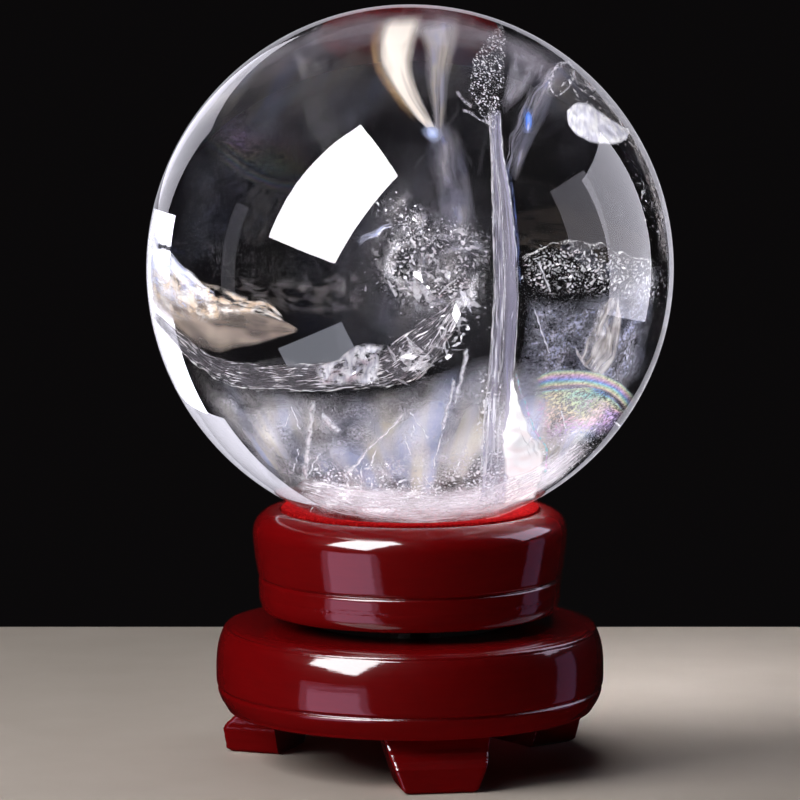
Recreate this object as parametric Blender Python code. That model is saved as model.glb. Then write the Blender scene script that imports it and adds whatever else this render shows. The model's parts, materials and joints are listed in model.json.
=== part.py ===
"""Crystal ball on a two-tier turned wooden stand, at real size in metres, +Z up.

The stand turns: a drum with a felt-lined dish carries the ball, and it spins on a
small ball bearing that is let into a disc on three feet. The origin is on the floor,
on the axis of the turntable. The front foot points towards -Y.
"""

import math

import bmesh
import bpy
from mathutils import Matrix

MM = 0.001
GAP = 0.3 * MM                      # kept between pieces that touch on the real object

# Ball
BALL_RADIUS = 50.0 * MM
BALL_CENTRE = 94.4 * MM             # height above the floor

# Heights of the stand
FOOT_TOP = 9.7 * MM
BASE_BOTTOM = FOOT_TOP + GAP
BASE_TOP = 26.6 * MM
DRUM_BOTTOM = 28.95 * MM
DRUM_TOP = 48.43 * MM

# Drum, an outline that is widest near the top
DRUM_RADIUS = 30.05 * MM
DRUM_SHOULDER = 44.08 * MM          # height of the widest place
DRUM_LIP_RADIUS = 25.4 * MM         # where the shoulder meets the flat lip
DRUM_GROOVE = 35.6 * MM
DRUM_GROOVE_RADIUS = 29.0 * MM
DRUM_FOOT_RADIUS = 28.7 * MM        # where the rounded lower edge starts
DRUM_EDGE_HEIGHT = 3.2 * MM
DRUM_EDGE_WIDTH = 1.6 * MM
DRUM_TAPER = 1.5                    # power of the curve from the shoulder to the groove

# Felt lining of the dish
FELT_RADIUS = 24.6 * MM
FELT_RIM_TOP = 48.75 * MM
FELT_RIM_BOTTOM = 47.7 * MM
FELT_THICKNESS = 0.9 * MM
DISH_RADIUS = BALL_RADIUS + FELT_THICKNESS + 2 * GAP

# Base disc, a bulged outline
BASE_RADIUS = 37.1 * MM
BASE_WIDEST = 17.4 * MM             # height of the widest place
BASE_SHOULDER = 25.2 * MM
BASE_SHOULDER_RADIUS = 35.8 * MM
BASE_BEAD_RADIUS = 35.16 * MM
BASE_BEAD = 25.93 * MM
BASE_BOTTOM_RADIUS = 34.6 * MM
BASE_FLAT_RADIUS = 30.0 * MM        # of the level part of the top
BASE_BULGE = 2.85                   # power of the bulge's curve
BASE_GROOVE = 14.5 * MM
GROOVE_DEPTH = 0.5 * MM
GROOVE_HALF_WIDTH = 0.35 * MM

# Feet
FOOT_ANGLES = {"foot_front": 9.5, "foot_right": 127.0, "foot_left": 249.5}  # from -Y to +X
FOOT_INNER = 24.5 * MM
# height, reach from the axis and half width of the foot, from the floor up
FOOT_LEVELS = (
    (0.0 * MM, 34.9 * MM, 6.50 * MM),
    (0.7 * MM, 35.5 * MM, 7.25 * MM),
    (4.55 * MM, 35.5 * MM, 8.70 * MM),
    (5.5 * MM, 35.1 * MM, 9.00 * MM),
    (6.2 * MM, 34.4 * MM, 9.20 * MM),
    (7.9 * MM, 32.4 * MM, 9.65 * MM),
    (FOOT_TOP, 31.2 * MM, 10.15 * MM),
)

# Bearing of 8 x 22 x 7 mm with 7 balls
BEARING_OUTER = 11.0 * MM
BEARING_BORE = 4.0 * MM
BEARING_HALF = 3.5 * MM
BEARING_PITCH = 7.5 * MM
BEARING_BALL = 1.985 * MM
BEARING_BALLS = 7
RACE_GROOVE = BEARING_BALL + 0.2 * MM
LAND_OFFSET = 1.45 * MM             # of each land from the pitch circle
SHIELD_STEP = 0.75 * MM             # depth of the step that takes a shield
SHIELD_SEAT = 0.9 * MM              # its width
SHIELD_CLEARANCE = 0.2 * MM
SHIELD_THICKNESS = 0.35 * MM
CHAMFER = 0.3 * MM
BEARING_MIDDLE = BASE_TOP - BEARING_HALF
CAGE_HALF_WIDTH = 0.8 * MM
CAGE_BOTTOM = 2.75 * MM             # below the middle of the bearing
CAGE_TOP = 0.9 * MM                 # above it
POCKET_RADIUS = BEARING_BALL + 0.2 * MM

# Fasteners
PIVOT_RADIUS = BEARING_BORE - GAP
PIVOT_POINT = 40.2 * MM             # height of the pivot screw's tip
PIVOT_CONE = 3.5 * MM
HEAD_HEIGHT = 5.3 * MM
HEAD_CORNER = 7.5 * MM              # radius across the corners
HEAD_CHAMFER = 0.3 * MM
HEAD_SIDES = 6
WASHER_RADIUS = 5.75 * MM
LOWER_WASHER = 1.2 * MM             # thickness
SOCKET_RADIUS = 9.0 * MM            # bore that lets a socket reach the head
FOOT_SCREW_AT = 28.4 * MM           # from the axis
FOOT_SCREW_RADIUS = 1.75 * MM
FOOT_SCREW_HEAD = 3.4 * MM
FOOT_SCREW_SEAT = 2.6 * MM          # height of the underside of the head
FOOT_SCREW_BOTTOM = 1.2 * MM
FOOT_SCREW_TOP = 19.1 * MM

# Facets round a turn
ROUND_BALL = 32
FINE = 40
MEDIUM = 28
COARSE = 20
SMALL = 12
CAGE_FACETS = 5 * BEARING_BALLS

# Steps along an arc of an outline
BOWL_STEPS = 6
SIDE_STEPS = 4

# Edges sharper than this, in degrees, are shaded sharp
SHARP = 35.0
SHARP_FOOT = 25.0
ALL_SMOOTH = 180.0


def clear_scene():
    for old in list(bpy.data.objects):
        bpy.data.objects.remove(old, do_unlink=True)


def material(name, colour, roughness, metallic=0.0, transmission=0.0, coat=0.0):
    made = bpy.data.materials.new(name)
    made.use_nodes = True
    shader = made.node_tree.nodes["Principled BSDF"]
    shader.inputs["Base Color"].default_value = (*colour, 1.0)
    shader.inputs["Roughness"].default_value = roughness
    shader.inputs["Metallic"].default_value = metallic
    shader.inputs["Transmission Weight"].default_value = transmission
    shader.inputs["Coat Weight"].default_value = coat
    return made


def pivot_empty(name, height):
    """An empty on the axis of the turntable, which carries the pieces that turn together."""
    empty = bpy.data.objects.new(name, None)
    empty.location = (0.0, 0.0, height)
    bpy.context.scene.collection.objects.link(empty)
    return empty


def add_object(name, bm, finish, parent=None, sharp=SHARP):
    """Turn a bmesh into an object, facing out and shaded smooth between its sharp edges."""
    bmesh.ops.recalc_face_normals(bm, faces=bm.faces)
    mesh = bpy.data.meshes.new(name)
    bm.to_mesh(mesh)
    bm.free()
    mesh.shade_smooth()
    mesh.set_sharp_from_angle(angle=math.radians(sharp))
    obj = bpy.data.objects.new(name, mesh)
    bpy.context.scene.collection.objects.link(obj)
    if finish:
        mesh.materials.append(finish)
    if parent:
        obj.parent = parent
        obj.location = -parent.location
    return obj


def guide(name, bm):
    """A solid that only shapes other pieces."""
    obj = add_object(name, bm, None)
    obj.hide_render = True
    obj.display_type = "WIRE"
    return obj


def combine(obj, other, operation="DIFFERENCE"):
    boolean = obj.modifiers.new(operation.lower(), "BOOLEAN")
    boolean.operation = operation
    boolean.object = other


def add_sphere(bm, radius, segments, place=(0.0, 0.0, 0.0)):
    bmesh.ops.create_uvsphere(bm, u_segments=segments, v_segments=segments // 2,
                              radius=radius, matrix=Matrix.Translation(place))


def arc(radius, height, width, rise, start, end, steps):
    """Points (radius, height) of an elliptical arc about a centre, angles in degrees."""
    points = []
    for step in range(steps + 1):
        angle = math.radians(start + (end - start) * step / steps)
        points.append((radius + width * math.cos(angle), height + rise * math.sin(angle)))
    return points


def turned_bmesh(outline, segments, closed):
    """Spin an outline of (radius, height) points about the Z axis."""
    bm = bmesh.new()
    points = [bm.verts.new((radius, 0.0, height)) for radius, height in outline]
    pairs = list(zip(points, points[1:]))
    if closed:
        pairs.append((points[-1], points[0]))
    edges = [bm.edges.new(pair) for pair in pairs]
    bmesh.ops.spin(
        bm,
        geom=points + edges,
        cent=(0.0, 0.0, 0.0),
        axis=(0.0, 0.0, 1.0),
        angle=math.tau,
        steps=segments,
        use_merge=True,
    )
    bmesh.ops.remove_doubles(bm, verts=bm.verts, dist=0.001 * MM)
    return bm


def turned(name, outline, finish, parent=None, segments=FINE, closed=False):
    """A turned piece: the outline runs from axis to axis, or round a closed ring section."""
    return add_object(name, turned_bmesh(outline, segments, closed), finish, parent)


def groove(radius, height):
    """A V groove scored into a side at this radius, from top to bottom."""
    return [
        (radius, height + GROOVE_HALF_WIDTH),
        (radius - GROOVE_DEPTH, height),
        (radius, height - GROOVE_HALF_WIDTH),
    ]


# Ball and drum

def crystal_ball(finish):
    bm = bmesh.new()
    add_sphere(bm, BALL_RADIUS, ROUND_BALL)
    obj = add_object("crystal_ball", bm, finish, sharp=ALL_SMOOTH)
    obj.location = (0.0, 0.0, BALL_CENTRE)


def dish(radius, last_height, steps):
    """Points of a bowl concentric with the ball, from the axis up to a height."""
    end = math.degrees(math.asin((last_height - BALL_CENTRE) / radius))
    return arc(0.0, BALL_CENTRE, radius, radius, -90.0, end, steps)


def felt_outline():
    seat = dish(BALL_RADIUS + GAP, FELT_RIM_TOP, BOWL_STEPS)
    rim = [(FELT_RADIUS, FELT_RIM_TOP), (FELT_RADIUS, FELT_RIM_BOTTOM)]
    underside = dish(DISH_RADIUS - GAP, FELT_RIM_BOTTOM, BOWL_STEPS)
    return seat + rim + underside[::-1]


def drum_side(steps):
    """The side above the groove, which draws in a little towards it."""
    top, bottom = DRUM_SHOULDER, DRUM_GROOVE + GROOVE_HALF_WIDTH
    points = []
    for step in range(1, steps):
        fall = step / steps
        radius = DRUM_RADIUS - (DRUM_RADIUS - DRUM_GROOVE_RADIUS) * fall ** DRUM_TAPER
        points.append((radius, top + (bottom - top) * fall))
    return points


def drum_outline():
    pocket = FELT_RIM_BOTTOM - GAP
    bowl = dish(DISH_RADIUS, pocket, BOWL_STEPS)
    lip = [(FELT_RADIUS + GAP, pocket), (FELT_RADIUS + GAP, DRUM_TOP)]
    shoulder = arc(DRUM_LIP_RADIUS, DRUM_SHOULDER, DRUM_RADIUS - DRUM_LIP_RADIUS,
                   DRUM_TOP - DRUM_SHOULDER, 90.0, 0.0, BOWL_STEPS)
    lower_edge = arc(DRUM_FOOT_RADIUS - DRUM_EDGE_WIDTH, DRUM_BOTTOM + DRUM_EDGE_HEIGHT,
                     DRUM_EDGE_WIDTH, DRUM_EDGE_HEIGHT, 0.0, -90.0, SIDE_STEPS)
    hole = PIVOT_RADIUS + GAP
    socket = [(hole, DRUM_BOTTOM), (hole, PIVOT_POINT + GAP), (0.0, PIVOT_POINT + GAP)]
    side = drum_side(SIDE_STEPS) + groove(DRUM_GROOVE_RADIUS, DRUM_GROOVE)
    return bowl + lip + shoulder + side + lower_edge + socket


# Base disc and feet

def bulge(height):
    """Radius of the base disc's side at a height, for a curve fuller than an ellipse."""
    if height > BASE_WIDEST:
        end, drop = BASE_SHOULDER, BASE_RADIUS - BASE_SHOULDER_RADIUS
    else:
        end, drop = BASE_BOTTOM, BASE_RADIUS - BASE_BOTTOM_RADIUS
    return BASE_RADIUS - drop * ((height - BASE_WIDEST) / (end - BASE_WIDEST)) ** BASE_BULGE


def bulge_points(start, end, steps):
    heights = [start + (end - start) * step / steps for step in range(steps + 1)]
    return [(bulge(height), height) for height in heights]


def base_outline():
    seat = BEARING_OUTER + GAP
    ledge = BASE_TOP - 2 * BEARING_HALF - GAP
    top = [(seat, BASE_TOP), (BASE_FLAT_RADIUS, BASE_TOP), (BASE_BEAD_RADIUS, BASE_BEAD)]
    upper = bulge_points(BASE_SHOULDER, BASE_GROOVE + GROOVE_HALF_WIDTH, BOWL_STEPS)
    lower = bulge_points(BASE_GROOVE - GROOVE_HALF_WIDTH, BASE_BOTTOM, SIDE_STEPS)
    score = [(bulge(BASE_GROOVE) - GROOVE_DEPTH, BASE_GROOVE)]
    bore = [(SOCKET_RADIUS, BASE_BOTTOM), (SOCKET_RADIUS, ledge), (seat, ledge)]
    return top + upper + score + lower + bore


def foot_direction(name):
    """Rotation that carries a piece modelled towards -Y to one of the three feet."""
    return Matrix.Rotation(math.radians(FOOT_ANGLES[name]), 4, "Z")


def foot(name, finish, screw_cutter):
    """A stub foot with a cove above its toe, lofted through level rectangles."""
    bm = bmesh.new()
    loops = []
    for height, reach, half in FOOT_LEVELS:
        corners = ((-half, -reach), (half, -reach), (half, -FOOT_INNER), (-half, -FOOT_INNER))
        loops.append([bm.verts.new((x, y, height)) for x, y in corners])
    for low, high in zip(loops, loops[1:]):
        for side in range(4):
            after = (side + 1) % 4
            bm.faces.new((low[side], low[after], high[after], high[side]))
    bm.faces.new(loops[0])
    bm.faces.new(loops[-1])
    bmesh.ops.transform(bm, matrix=foot_direction(name), verts=bm.verts)
    obj = add_object(name, bm, finish, sharp=SHARP_FOOT)
    combine(obj, screw_cutter)


def foot_screw_outline(clearance):
    """A countersunk screw from its tip to its head, grown by a clearance."""
    shank = FOOT_SCREW_RADIUS + clearance
    head = FOOT_SCREW_HEAD + clearance
    seat = FOOT_SCREW_SEAT + clearance
    neck = seat + (head - shank)
    return [
        (0.0, FOOT_SCREW_TOP + clearance),
        (shank, FOOT_SCREW_TOP - shank),
        (shank, neck),
        (head, seat),
        (head, FOOT_SCREW_BOTTOM),
        (0.0, FOOT_SCREW_BOTTOM),
    ]


def screw_bmesh(foot_name, outline):
    bm = turned_bmesh(outline, SMALL, False)
    bmesh.ops.translate(bm, vec=(0.0, -FOOT_SCREW_AT, 0.0), verts=bm.verts)
    bmesh.ops.transform(bm, matrix=foot_direction(foot_name), verts=bm.verts)
    return bm


def feet_and_screws(wood, steel):
    """The three feet, their screws, and the cutters that let the screws in."""
    cutters = []
    hole = foot_screw_outline(GAP)
    hole[-2:] = [(FOOT_SCREW_HEAD + GAP, -GAP), (0.0, -GAP)]
    for name in FOOT_ANGLES:
        cutter = guide(f"cutter_{name}", screw_bmesh(name, hole))
        foot(name, wood, cutter)
        screw = screw_bmesh(name, foot_screw_outline(0.0))
        add_object(name.replace("foot", "foot_screw"), screw, steel)
        cutters.append(cutter)
    return cutters


# Bearing

def race_track(side):
    """The groove the balls run in. side is 1 for the outer race and -1 for the inner one."""
    reach = math.degrees(math.acos(LAND_OFFSET / RACE_GROOVE))
    middle = 90.0 - side * 90.0
    return arc(BEARING_PITCH, BEARING_MIDDLE, RACE_GROOVE, RACE_GROOVE,
               middle - side * reach, middle + side * reach, BOWL_STEPS)


def outer_race_outline():
    """Closed section, with a step at each end of the bore for the shield."""
    top, bottom = BEARING_MIDDLE + BEARING_HALF, BEARING_MIDDLE - BEARING_HALF
    face = BEARING_OUTER - CHAMFER
    land = BEARING_PITCH + LAND_OFFSET
    step = land + SHIELD_SEAT
    low = [(BEARING_OUTER, bottom + CHAMFER), (face, bottom), (step, bottom),
           (step, bottom + SHIELD_STEP), (land, bottom + SHIELD_STEP)]
    high = [(land, top - SHIELD_STEP), (step, top - SHIELD_STEP), (step, top),
            (face, top), (BEARING_OUTER, top - CHAMFER)]
    return low + race_track(1) + high


def inner_race_outline():
    top, bottom = BEARING_MIDDLE + BEARING_HALF, BEARING_MIDDLE - BEARING_HALF
    land = BEARING_PITCH - LAND_OFFSET
    face = BEARING_BORE + CHAMFER
    low = [(BEARING_BORE, bottom + CHAMFER), (face, bottom), (land, bottom)]
    high = [(land, top), (face, top), (BEARING_BORE, top - CHAMFER)]
    return low + race_track(-1) + high


def bearing_shield(name, centre, finish):
    outer = BEARING_PITCH + LAND_OFFSET + SHIELD_SEAT - SHIELD_CLEARANCE
    inner = BEARING_PITCH - LAND_OFFSET + GAP
    half = SHIELD_THICKNESS / 2
    section = [(inner, centre - half), (outer, centre - half),
               (outer, centre + half), (inner, centre + half)]
    turned(name, section, finish, None, MEDIUM, True)


def bearing_cage(finish, parent):
    """A crown cage: a ring whose round pockets open towards the top."""
    inner, outer = BEARING_PITCH - CAGE_HALF_WIDTH, BEARING_PITCH + CAGE_HALF_WIDTH
    low, high = BEARING_MIDDLE - CAGE_BOTTOM, BEARING_MIDDLE + CAGE_TOP
    section = [(inner, low), (outer, low), (outer, high), (inner, high)]
    cage = turned("bearing_cage", section, finish, parent, CAGE_FACETS, True)
    bm = bmesh.new()
    for place in ball_places():
        add_sphere(bm, POCKET_RADIUS, SMALL, place)
    combine(cage, guide("cutter_pockets", bm))


def ball_places():
    """Centres of the bearing's balls, evenly spaced on the pitch circle."""
    places = []
    for index in range(BEARING_BALLS):
        angle = math.tau * index / BEARING_BALLS
        places.append((BEARING_PITCH * math.cos(angle), BEARING_PITCH * math.sin(angle),
                       BEARING_MIDDLE))
    return places


def bearing(steel, nylon, turntable, cage_axis):
    turned("bearing_outer_race", outer_race_outline(), steel, None, MEDIUM, True)
    turned("bearing_inner_race", inner_race_outline(), steel, turntable, MEDIUM, True)
    offset = BEARING_HALF - SHIELD_STEP + SHIELD_CLEARANCE + SHIELD_THICKNESS / 2
    bearing_shield("bearing_shield_top", BEARING_MIDDLE + offset, steel)
    bearing_shield("bearing_shield_bottom", BEARING_MIDDLE - offset, steel)
    bearing_cage(nylon, cage_axis)
    for index, place in enumerate(ball_places()):
        bm = bmesh.new()
        add_sphere(bm, BEARING_BALL, SMALL)
        ball = add_object(f"bearing_ball_{index + 1}", bm, steel, cage_axis, ALL_SMOOTH)
        ball.location = (place[0], place[1], place[2] - cage_axis.location.z)


# Pivot

def washer(name, low, high, finish, parent):
    section = [(BEARING_BORE, low), (WASHER_RADIUS, low),
               (WASHER_RADIUS, high), (BEARING_BORE, high)]
    turned(name, section, finish, parent, COARSE, True)


def pivot_screw(seat, finish, parent):
    """A coach screw: a pointed shank with a hexagon head under the bearing."""
    tip = [(0.0, PIVOT_POINT), (PIVOT_RADIUS, PIVOT_POINT - PIVOT_CONE)]
    bm = turned_bmesh(tip + [(PIVOT_RADIUS, seat), (0.0, seat)], COARSE, False)
    shank = add_object("pivot_screw", bm, finish, parent)
    top, bottom = seat + HEAD_CHAMFER, seat - HEAD_HEIGHT
    face = HEAD_CORNER - HEAD_CHAMFER
    head = turned_bmesh([(0.0, top), (face, top), (HEAD_CORNER, seat),
                         (HEAD_CORNER, bottom + HEAD_CHAMFER), (face, bottom),
                         (0.0, bottom)], HEAD_SIDES, False)
    combine(shank, guide("guide_pivot_head", head), "UNION")


def build():
    clear_scene()
    quartz = material("rock_crystal", (0.93, 0.94, 0.96), 0.02, transmission=1.0)
    felt = material("red_felt", (0.48, 0.012, 0.015), 0.95)
    drum_wood = material("drum_lacquer", (0.16, 0.006, 0.007), 0.12, coat=1.0)
    base_wood = material("base_lacquer", (0.17, 0.006, 0.007), 0.12, coat=1.0)
    foot_wood = material("foot_lacquer", (0.17, 0.006, 0.007), 0.15, coat=1.0)
    steel = material("bearing_steel", (0.62, 0.62, 0.63), 0.22, metallic=1.0)
    zinc = material("zinc_plated_steel", (0.60, 0.61, 0.60), 0.38, metallic=1.0)
    nylon = material("nylon_cage", (0.72, 0.68, 0.58), 0.5)

    turntable = pivot_empty("turntable_axis", DRUM_BOTTOM)
    cage_axis = pivot_empty("cage_axis", BEARING_MIDDLE)

    crystal_ball(quartz)
    turned("felt_lining", felt_outline(), felt, turntable, MEDIUM)
    turned("turntable_drum", drum_outline(), drum_wood, turntable)

    base = turned("base_disc", base_outline(), base_wood, closed=True)
    for cutter in feet_and_screws(foot_wood, zinc):
        combine(base, cutter)

    bearing(steel, nylon, turntable, cage_axis)
    bearing_bottom = BASE_TOP - 2 * BEARING_HALF
    washer("spacer_washer", BASE_TOP + GAP, DRUM_BOTTOM - GAP, zinc, turntable)
    washer_top = bearing_bottom - GAP
    washer("lower_washer", washer_top - LOWER_WASHER, washer_top, zinc, turntable)
    pivot_screw(washer_top - LOWER_WASHER - 2 * GAP, zinc, turntable)


build()
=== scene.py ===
"""Looks of the crystal ball on its turning stand: fine meshes, materials, lights and camera.

Everything is in metres in the part's own frame: +Z up along the turntable's axis, the
camera on the -Y side. Places inside the ball are given as they are seen from the front,
on the ball's disc, and are carried in along the refracted ray. Noise scales are per metre.
"""

import json
import math

import bmesh
import bpy
import numpy as np
from mathutils import Euler, Matrix, Vector, noise

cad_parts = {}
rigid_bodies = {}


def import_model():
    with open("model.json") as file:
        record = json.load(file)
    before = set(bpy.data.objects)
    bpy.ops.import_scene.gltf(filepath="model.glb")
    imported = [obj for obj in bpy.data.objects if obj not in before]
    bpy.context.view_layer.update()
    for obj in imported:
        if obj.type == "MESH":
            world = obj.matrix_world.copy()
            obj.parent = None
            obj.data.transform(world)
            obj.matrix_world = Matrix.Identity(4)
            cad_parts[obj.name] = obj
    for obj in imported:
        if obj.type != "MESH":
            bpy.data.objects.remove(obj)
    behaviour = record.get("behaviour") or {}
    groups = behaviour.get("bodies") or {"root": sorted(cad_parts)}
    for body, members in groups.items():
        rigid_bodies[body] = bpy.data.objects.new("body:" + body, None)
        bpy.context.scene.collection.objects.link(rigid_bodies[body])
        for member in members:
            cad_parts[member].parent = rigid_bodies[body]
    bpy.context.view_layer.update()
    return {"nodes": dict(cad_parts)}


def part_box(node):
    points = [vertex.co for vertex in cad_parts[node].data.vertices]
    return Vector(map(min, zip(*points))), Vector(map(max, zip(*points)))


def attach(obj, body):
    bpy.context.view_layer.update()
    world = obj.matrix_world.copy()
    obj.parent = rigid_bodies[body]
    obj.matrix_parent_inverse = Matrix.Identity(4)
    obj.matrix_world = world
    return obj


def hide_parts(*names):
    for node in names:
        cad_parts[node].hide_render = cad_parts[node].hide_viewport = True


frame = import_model()

MM = 0.001
GAP = 0.3 * MM

# Ball, from its CAD node
BALL_LOW, BALL_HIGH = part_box("crystal_ball")
BALL_RADIUS = (BALL_HIGH.z - BALL_LOW.z) / 2
BALL_CENTRE = Vector((0.0, 0.0, (BALL_HIGH.z + BALL_LOW.z) / 2))
QUARTZ_IOR = 1.544
BALL_CUTS = 79                      # across each of the sphere's six patches
LEAST_WALL = 0.35 * MM              # least quartz between an inclusion and the surface
LIMB_REACH = 0.992                  # furthest out on the disc that a place can lie
SHARE_LIMITS = (0.012, 0.985)       # nearest and furthest along the path through the ball
CRACKLE_BAND = (0.05, 0.20)         # part of the ridged noise that shows as crack lines
SCATTERED_NEEDLES = 16

# Camera
CAMERA_PLACE = Vector((-1.9, -945.1, 189.8)) * MM
CAMERA_PITCH = 7.27                 # degrees below the horizon
CAMERA_LENS = 225.0
CAMERA_SENSOR = 36.0

# Stage
TABLE_EDGES = (-270.0, 270.0, -420.0, 146.0)    # left, right, near and far, in mm
WHITE = (1.0, 0.99, 1.0)
COOL = (0.90, 0.88, 1.0)
ROSE = (1.0, 0.52, 0.80)

# Kinds of light path that a lamp takes no part in
LIGHTS_ONLY = ("glossy", "transmission")
MIRRORED_ONLY = ("transmission", "diffuse")
LACQUER_ONLY = ("diffuse", "transmission", "camera")

# Turned tiers, whose heights come from their CAD nodes
BASE_BOTTOM, BASE_TOP = (corner.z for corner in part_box("base_disc"))
DRUM_BOTTOM, DRUM_TOP = (corner.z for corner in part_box("turntable_drum"))
TURN_SEGMENTS = 512
LACQUER_WAVES = (7.0 * MM, 0.018 * MM)      # size and depth of its slight waves
LACQUER_CHIPS = ((0.9 * MM, 0.10 * MM, 2), (2.6 * MM, 0.06 * MM, 3))    # size, depth, seed
GROOVE_DEPTH = 0.5 * MM
GROOVE_WIDTH = 0.3 * MM

DRUM_RADIUS = 30.05 * MM
DRUM_SHOULDER = 44.08 * MM
DRUM_LIP = 25.4 * MM
DRUM_GROOVE = 35.6 * MM
DRUM_GROOVE_RADIUS = 29.0 * MM
DRUM_FOOT_RADIUS = 28.7 * MM
DRUM_EDGE_HEIGHT = 3.2 * MM
DRUM_EDGE_WIDTH = 1.6 * MM
DRUM_TAPER = 1.5
DRUM_LINE = 32.5 * MM               # level of uneven lacquer over the rounded lower edge
PIVOT_HOLE = 4.0 * MM
PIVOT_HOLE_TOP = 40.5 * MM

FELT_RADIUS = 24.6 * MM
FELT_TOP = 48.75 * MM
FELT_BOTTOM = 47.7 * MM
FELT_THICKNESS = 0.9 * MM
FELT_EDGE = 0.25 * MM
FIBRE_COUNT = 2600
FIBRE_JOINTS = 4
FIBRE_STEP = 0.16 * MM
FIBRE_HALF_WIDTH = 0.014 * MM
FIBRE_ROOT = 0.05 * MM              # how deep the fibres start in the felt
FIBRE_RIM = 1.0 * MM                # width of the rim that they stand on
FIBRE_RISE = 0.25 * MM              # most that they stand over the felt's top
DISH_RADIUS = BALL_RADIUS + FELT_THICKNESS + 2 * GAP

BASE_RADIUS = 37.1 * MM
BASE_WIDEST = 17.4 * MM
BASE_SHOULDER = 25.2 * MM
BASE_SHOULDER_RADIUS = 35.8 * MM
BASE_BEAD_RADIUS = 35.16 * MM
BASE_BOTTOM_RADIUS = 34.6 * MM
BASE_FLAT_RADIUS = 30.0 * MM
BASE_BULGE = 2.85
BASE_GROOVE = 14.5 * MM
SOCKET_BORE = 9.0 * MM
BEARING_SEAT = 11.3 * MM
BEARING_LEDGE = 19.3 * MM

# Feet: height, reach from the axis and half width, from the floor up
FOOT_ANGLES = {"foot_front": 9.5, "foot_right": 127.0, "foot_left": 249.5}
FOOT_INNER = 24.5 * MM
FOOT_LEVELS = (
    (0.0, 34.9, 6.50),
    (0.7, 35.5, 7.25),
    (4.55, 35.5, 8.70),
    (5.5, 35.1, 9.00),
    (6.2, 34.4, 9.20),
    (7.9, 32.4, 9.65),
    (9.7, 31.2, 10.15),
)
FOOT_HEIGHT = 9.7                   # mm
FOOT_RIDGES = (4.75, 6.1, 7.2)      # heights in mm of fine ridges round the cove
FOOT_RIDGE_DEPTH = 0.10 * MM
FOOT_RIDGE_REACH = 0.16             # mm
FOOT_SCREW_AT = 28.4 * MM
FOOT_HOLE_RADIUS = 3.7 * MM
FOOT_HOLE_DEPTH = 2.6 * MM


# Meshes

def add_mesh(name, points, faces, look, uv=None):
    mesh = bpy.data.meshes.new(name)
    mesh.from_pydata([tuple(point) for point in points], [], [tuple(face) for face in faces])
    mesh.update()
    mesh.shade_smooth()
    if uv is not None:
        layer = mesh.uv_layers.new(name="UVMap")
        corners = np.zeros(len(mesh.loops), dtype=np.int32)
        mesh.loops.foreach_get("vertex_index", corners)
        layer.data.foreach_set("uv", np.asarray(uv, dtype=np.float32)[corners].ravel())
    mesh.materials.append(look)
    obj = bpy.data.objects.new(name, mesh)
    bpy.context.scene.collection.objects.link(obj)
    return obj


def grid_faces(rows, columns, wrap_rows=False, wrap_columns=False):
    """Quads over a grid of points numbered row by row."""
    last_row = rows if wrap_rows else rows - 1
    last_column = columns if wrap_columns else columns - 1
    faces = []
    for row in range(last_row):
        for column in range(last_column):
            after, right = (row + 1) % rows, (column + 1) % columns
            faces.append((row * columns + column, row * columns + right,
                          after * columns + right, after * columns + column))
    return faces


def rough(points, size, depth, seed):
    """Smooth noise at each point, between about -depth and depth, with features of this size."""
    shift = Vector((seed * 7.3, seed * 3.1, seed * 5.7))
    return np.array([noise.noise(Vector(point) / size + shift) for point in points]) * depth


def turned(name, outline, look, closed, chips=()):
    """A turned piece with the slight waves of a hand-rubbed lacquer.

    outline is (radius, height) points. chips are heights where the lacquer is uneven.
    """
    outline = np.array(outline)
    angles = np.arange(TURN_SEGMENTS) * math.tau / TURN_SEGMENTS
    radius, height = outline[:, :1], outline[:, 1:]
    points = np.stack([radius * np.cos(angles), radius * np.sin(angles),
                       height + 0.0 * angles], axis=-1)
    flat = points.reshape(-1, 3)
    away = flat.copy()
    away[:, 2] = 0.0
    away /= np.maximum(np.linalg.norm(away, axis=1, keepdims=True), 1e-9)
    shift = rough(flat, *LACQUER_WAVES, 1)
    for level, reach in chips:
        near = np.exp(-((flat[:, 2] - level) / reach) ** 2)
        for size, depth, seed in LACQUER_CHIPS:
            shift -= near * np.abs(rough(flat, size, depth, seed))
    flat += away * np.minimum(shift, 0.0)[:, None]
    faces = grid_faces(len(outline), TURN_SEGMENTS, closed, True)
    obj = add_mesh(name, flat, faces, look)
    tidy_mesh(obj)
    return obj


def tidy_mesh(obj):
    """Merge the points that meet on the axis and face everything outwards."""
    bm = bmesh.new()
    bm.from_mesh(obj.data)
    bmesh.ops.remove_doubles(bm, verts=bm.verts, dist=0.002 * MM)
    bmesh.ops.recalc_face_normals(bm, faces=bm.faces)
    bm.to_mesh(obj.data)
    bm.free()


def arc(radius, height, width, rise, start, end, steps):
    """Points of an elliptical arc about (radius, height), angles in degrees."""
    turns = np.radians(np.linspace(start, end, steps + 1))
    return [(radius + width * math.cos(turn), height + rise * math.sin(turn))
            for turn in turns]


def dish(radius, last_height, steps):
    """A bowl concentric with the ball, from the axis up to a height."""
    centre = BALL_CENTRE.z
    end = math.degrees(math.asin((last_height - centre) / radius))
    return arc(0.0, centre, radius, radius, -90.0, end, steps)


def score(height, level):
    """Depth at a height of a groove scored at this level, with soft lacquered lips."""
    away = abs(height - level) / GROOVE_WIDTH
    return GROOVE_DEPTH * math.exp(-away ** 1.6)


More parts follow.
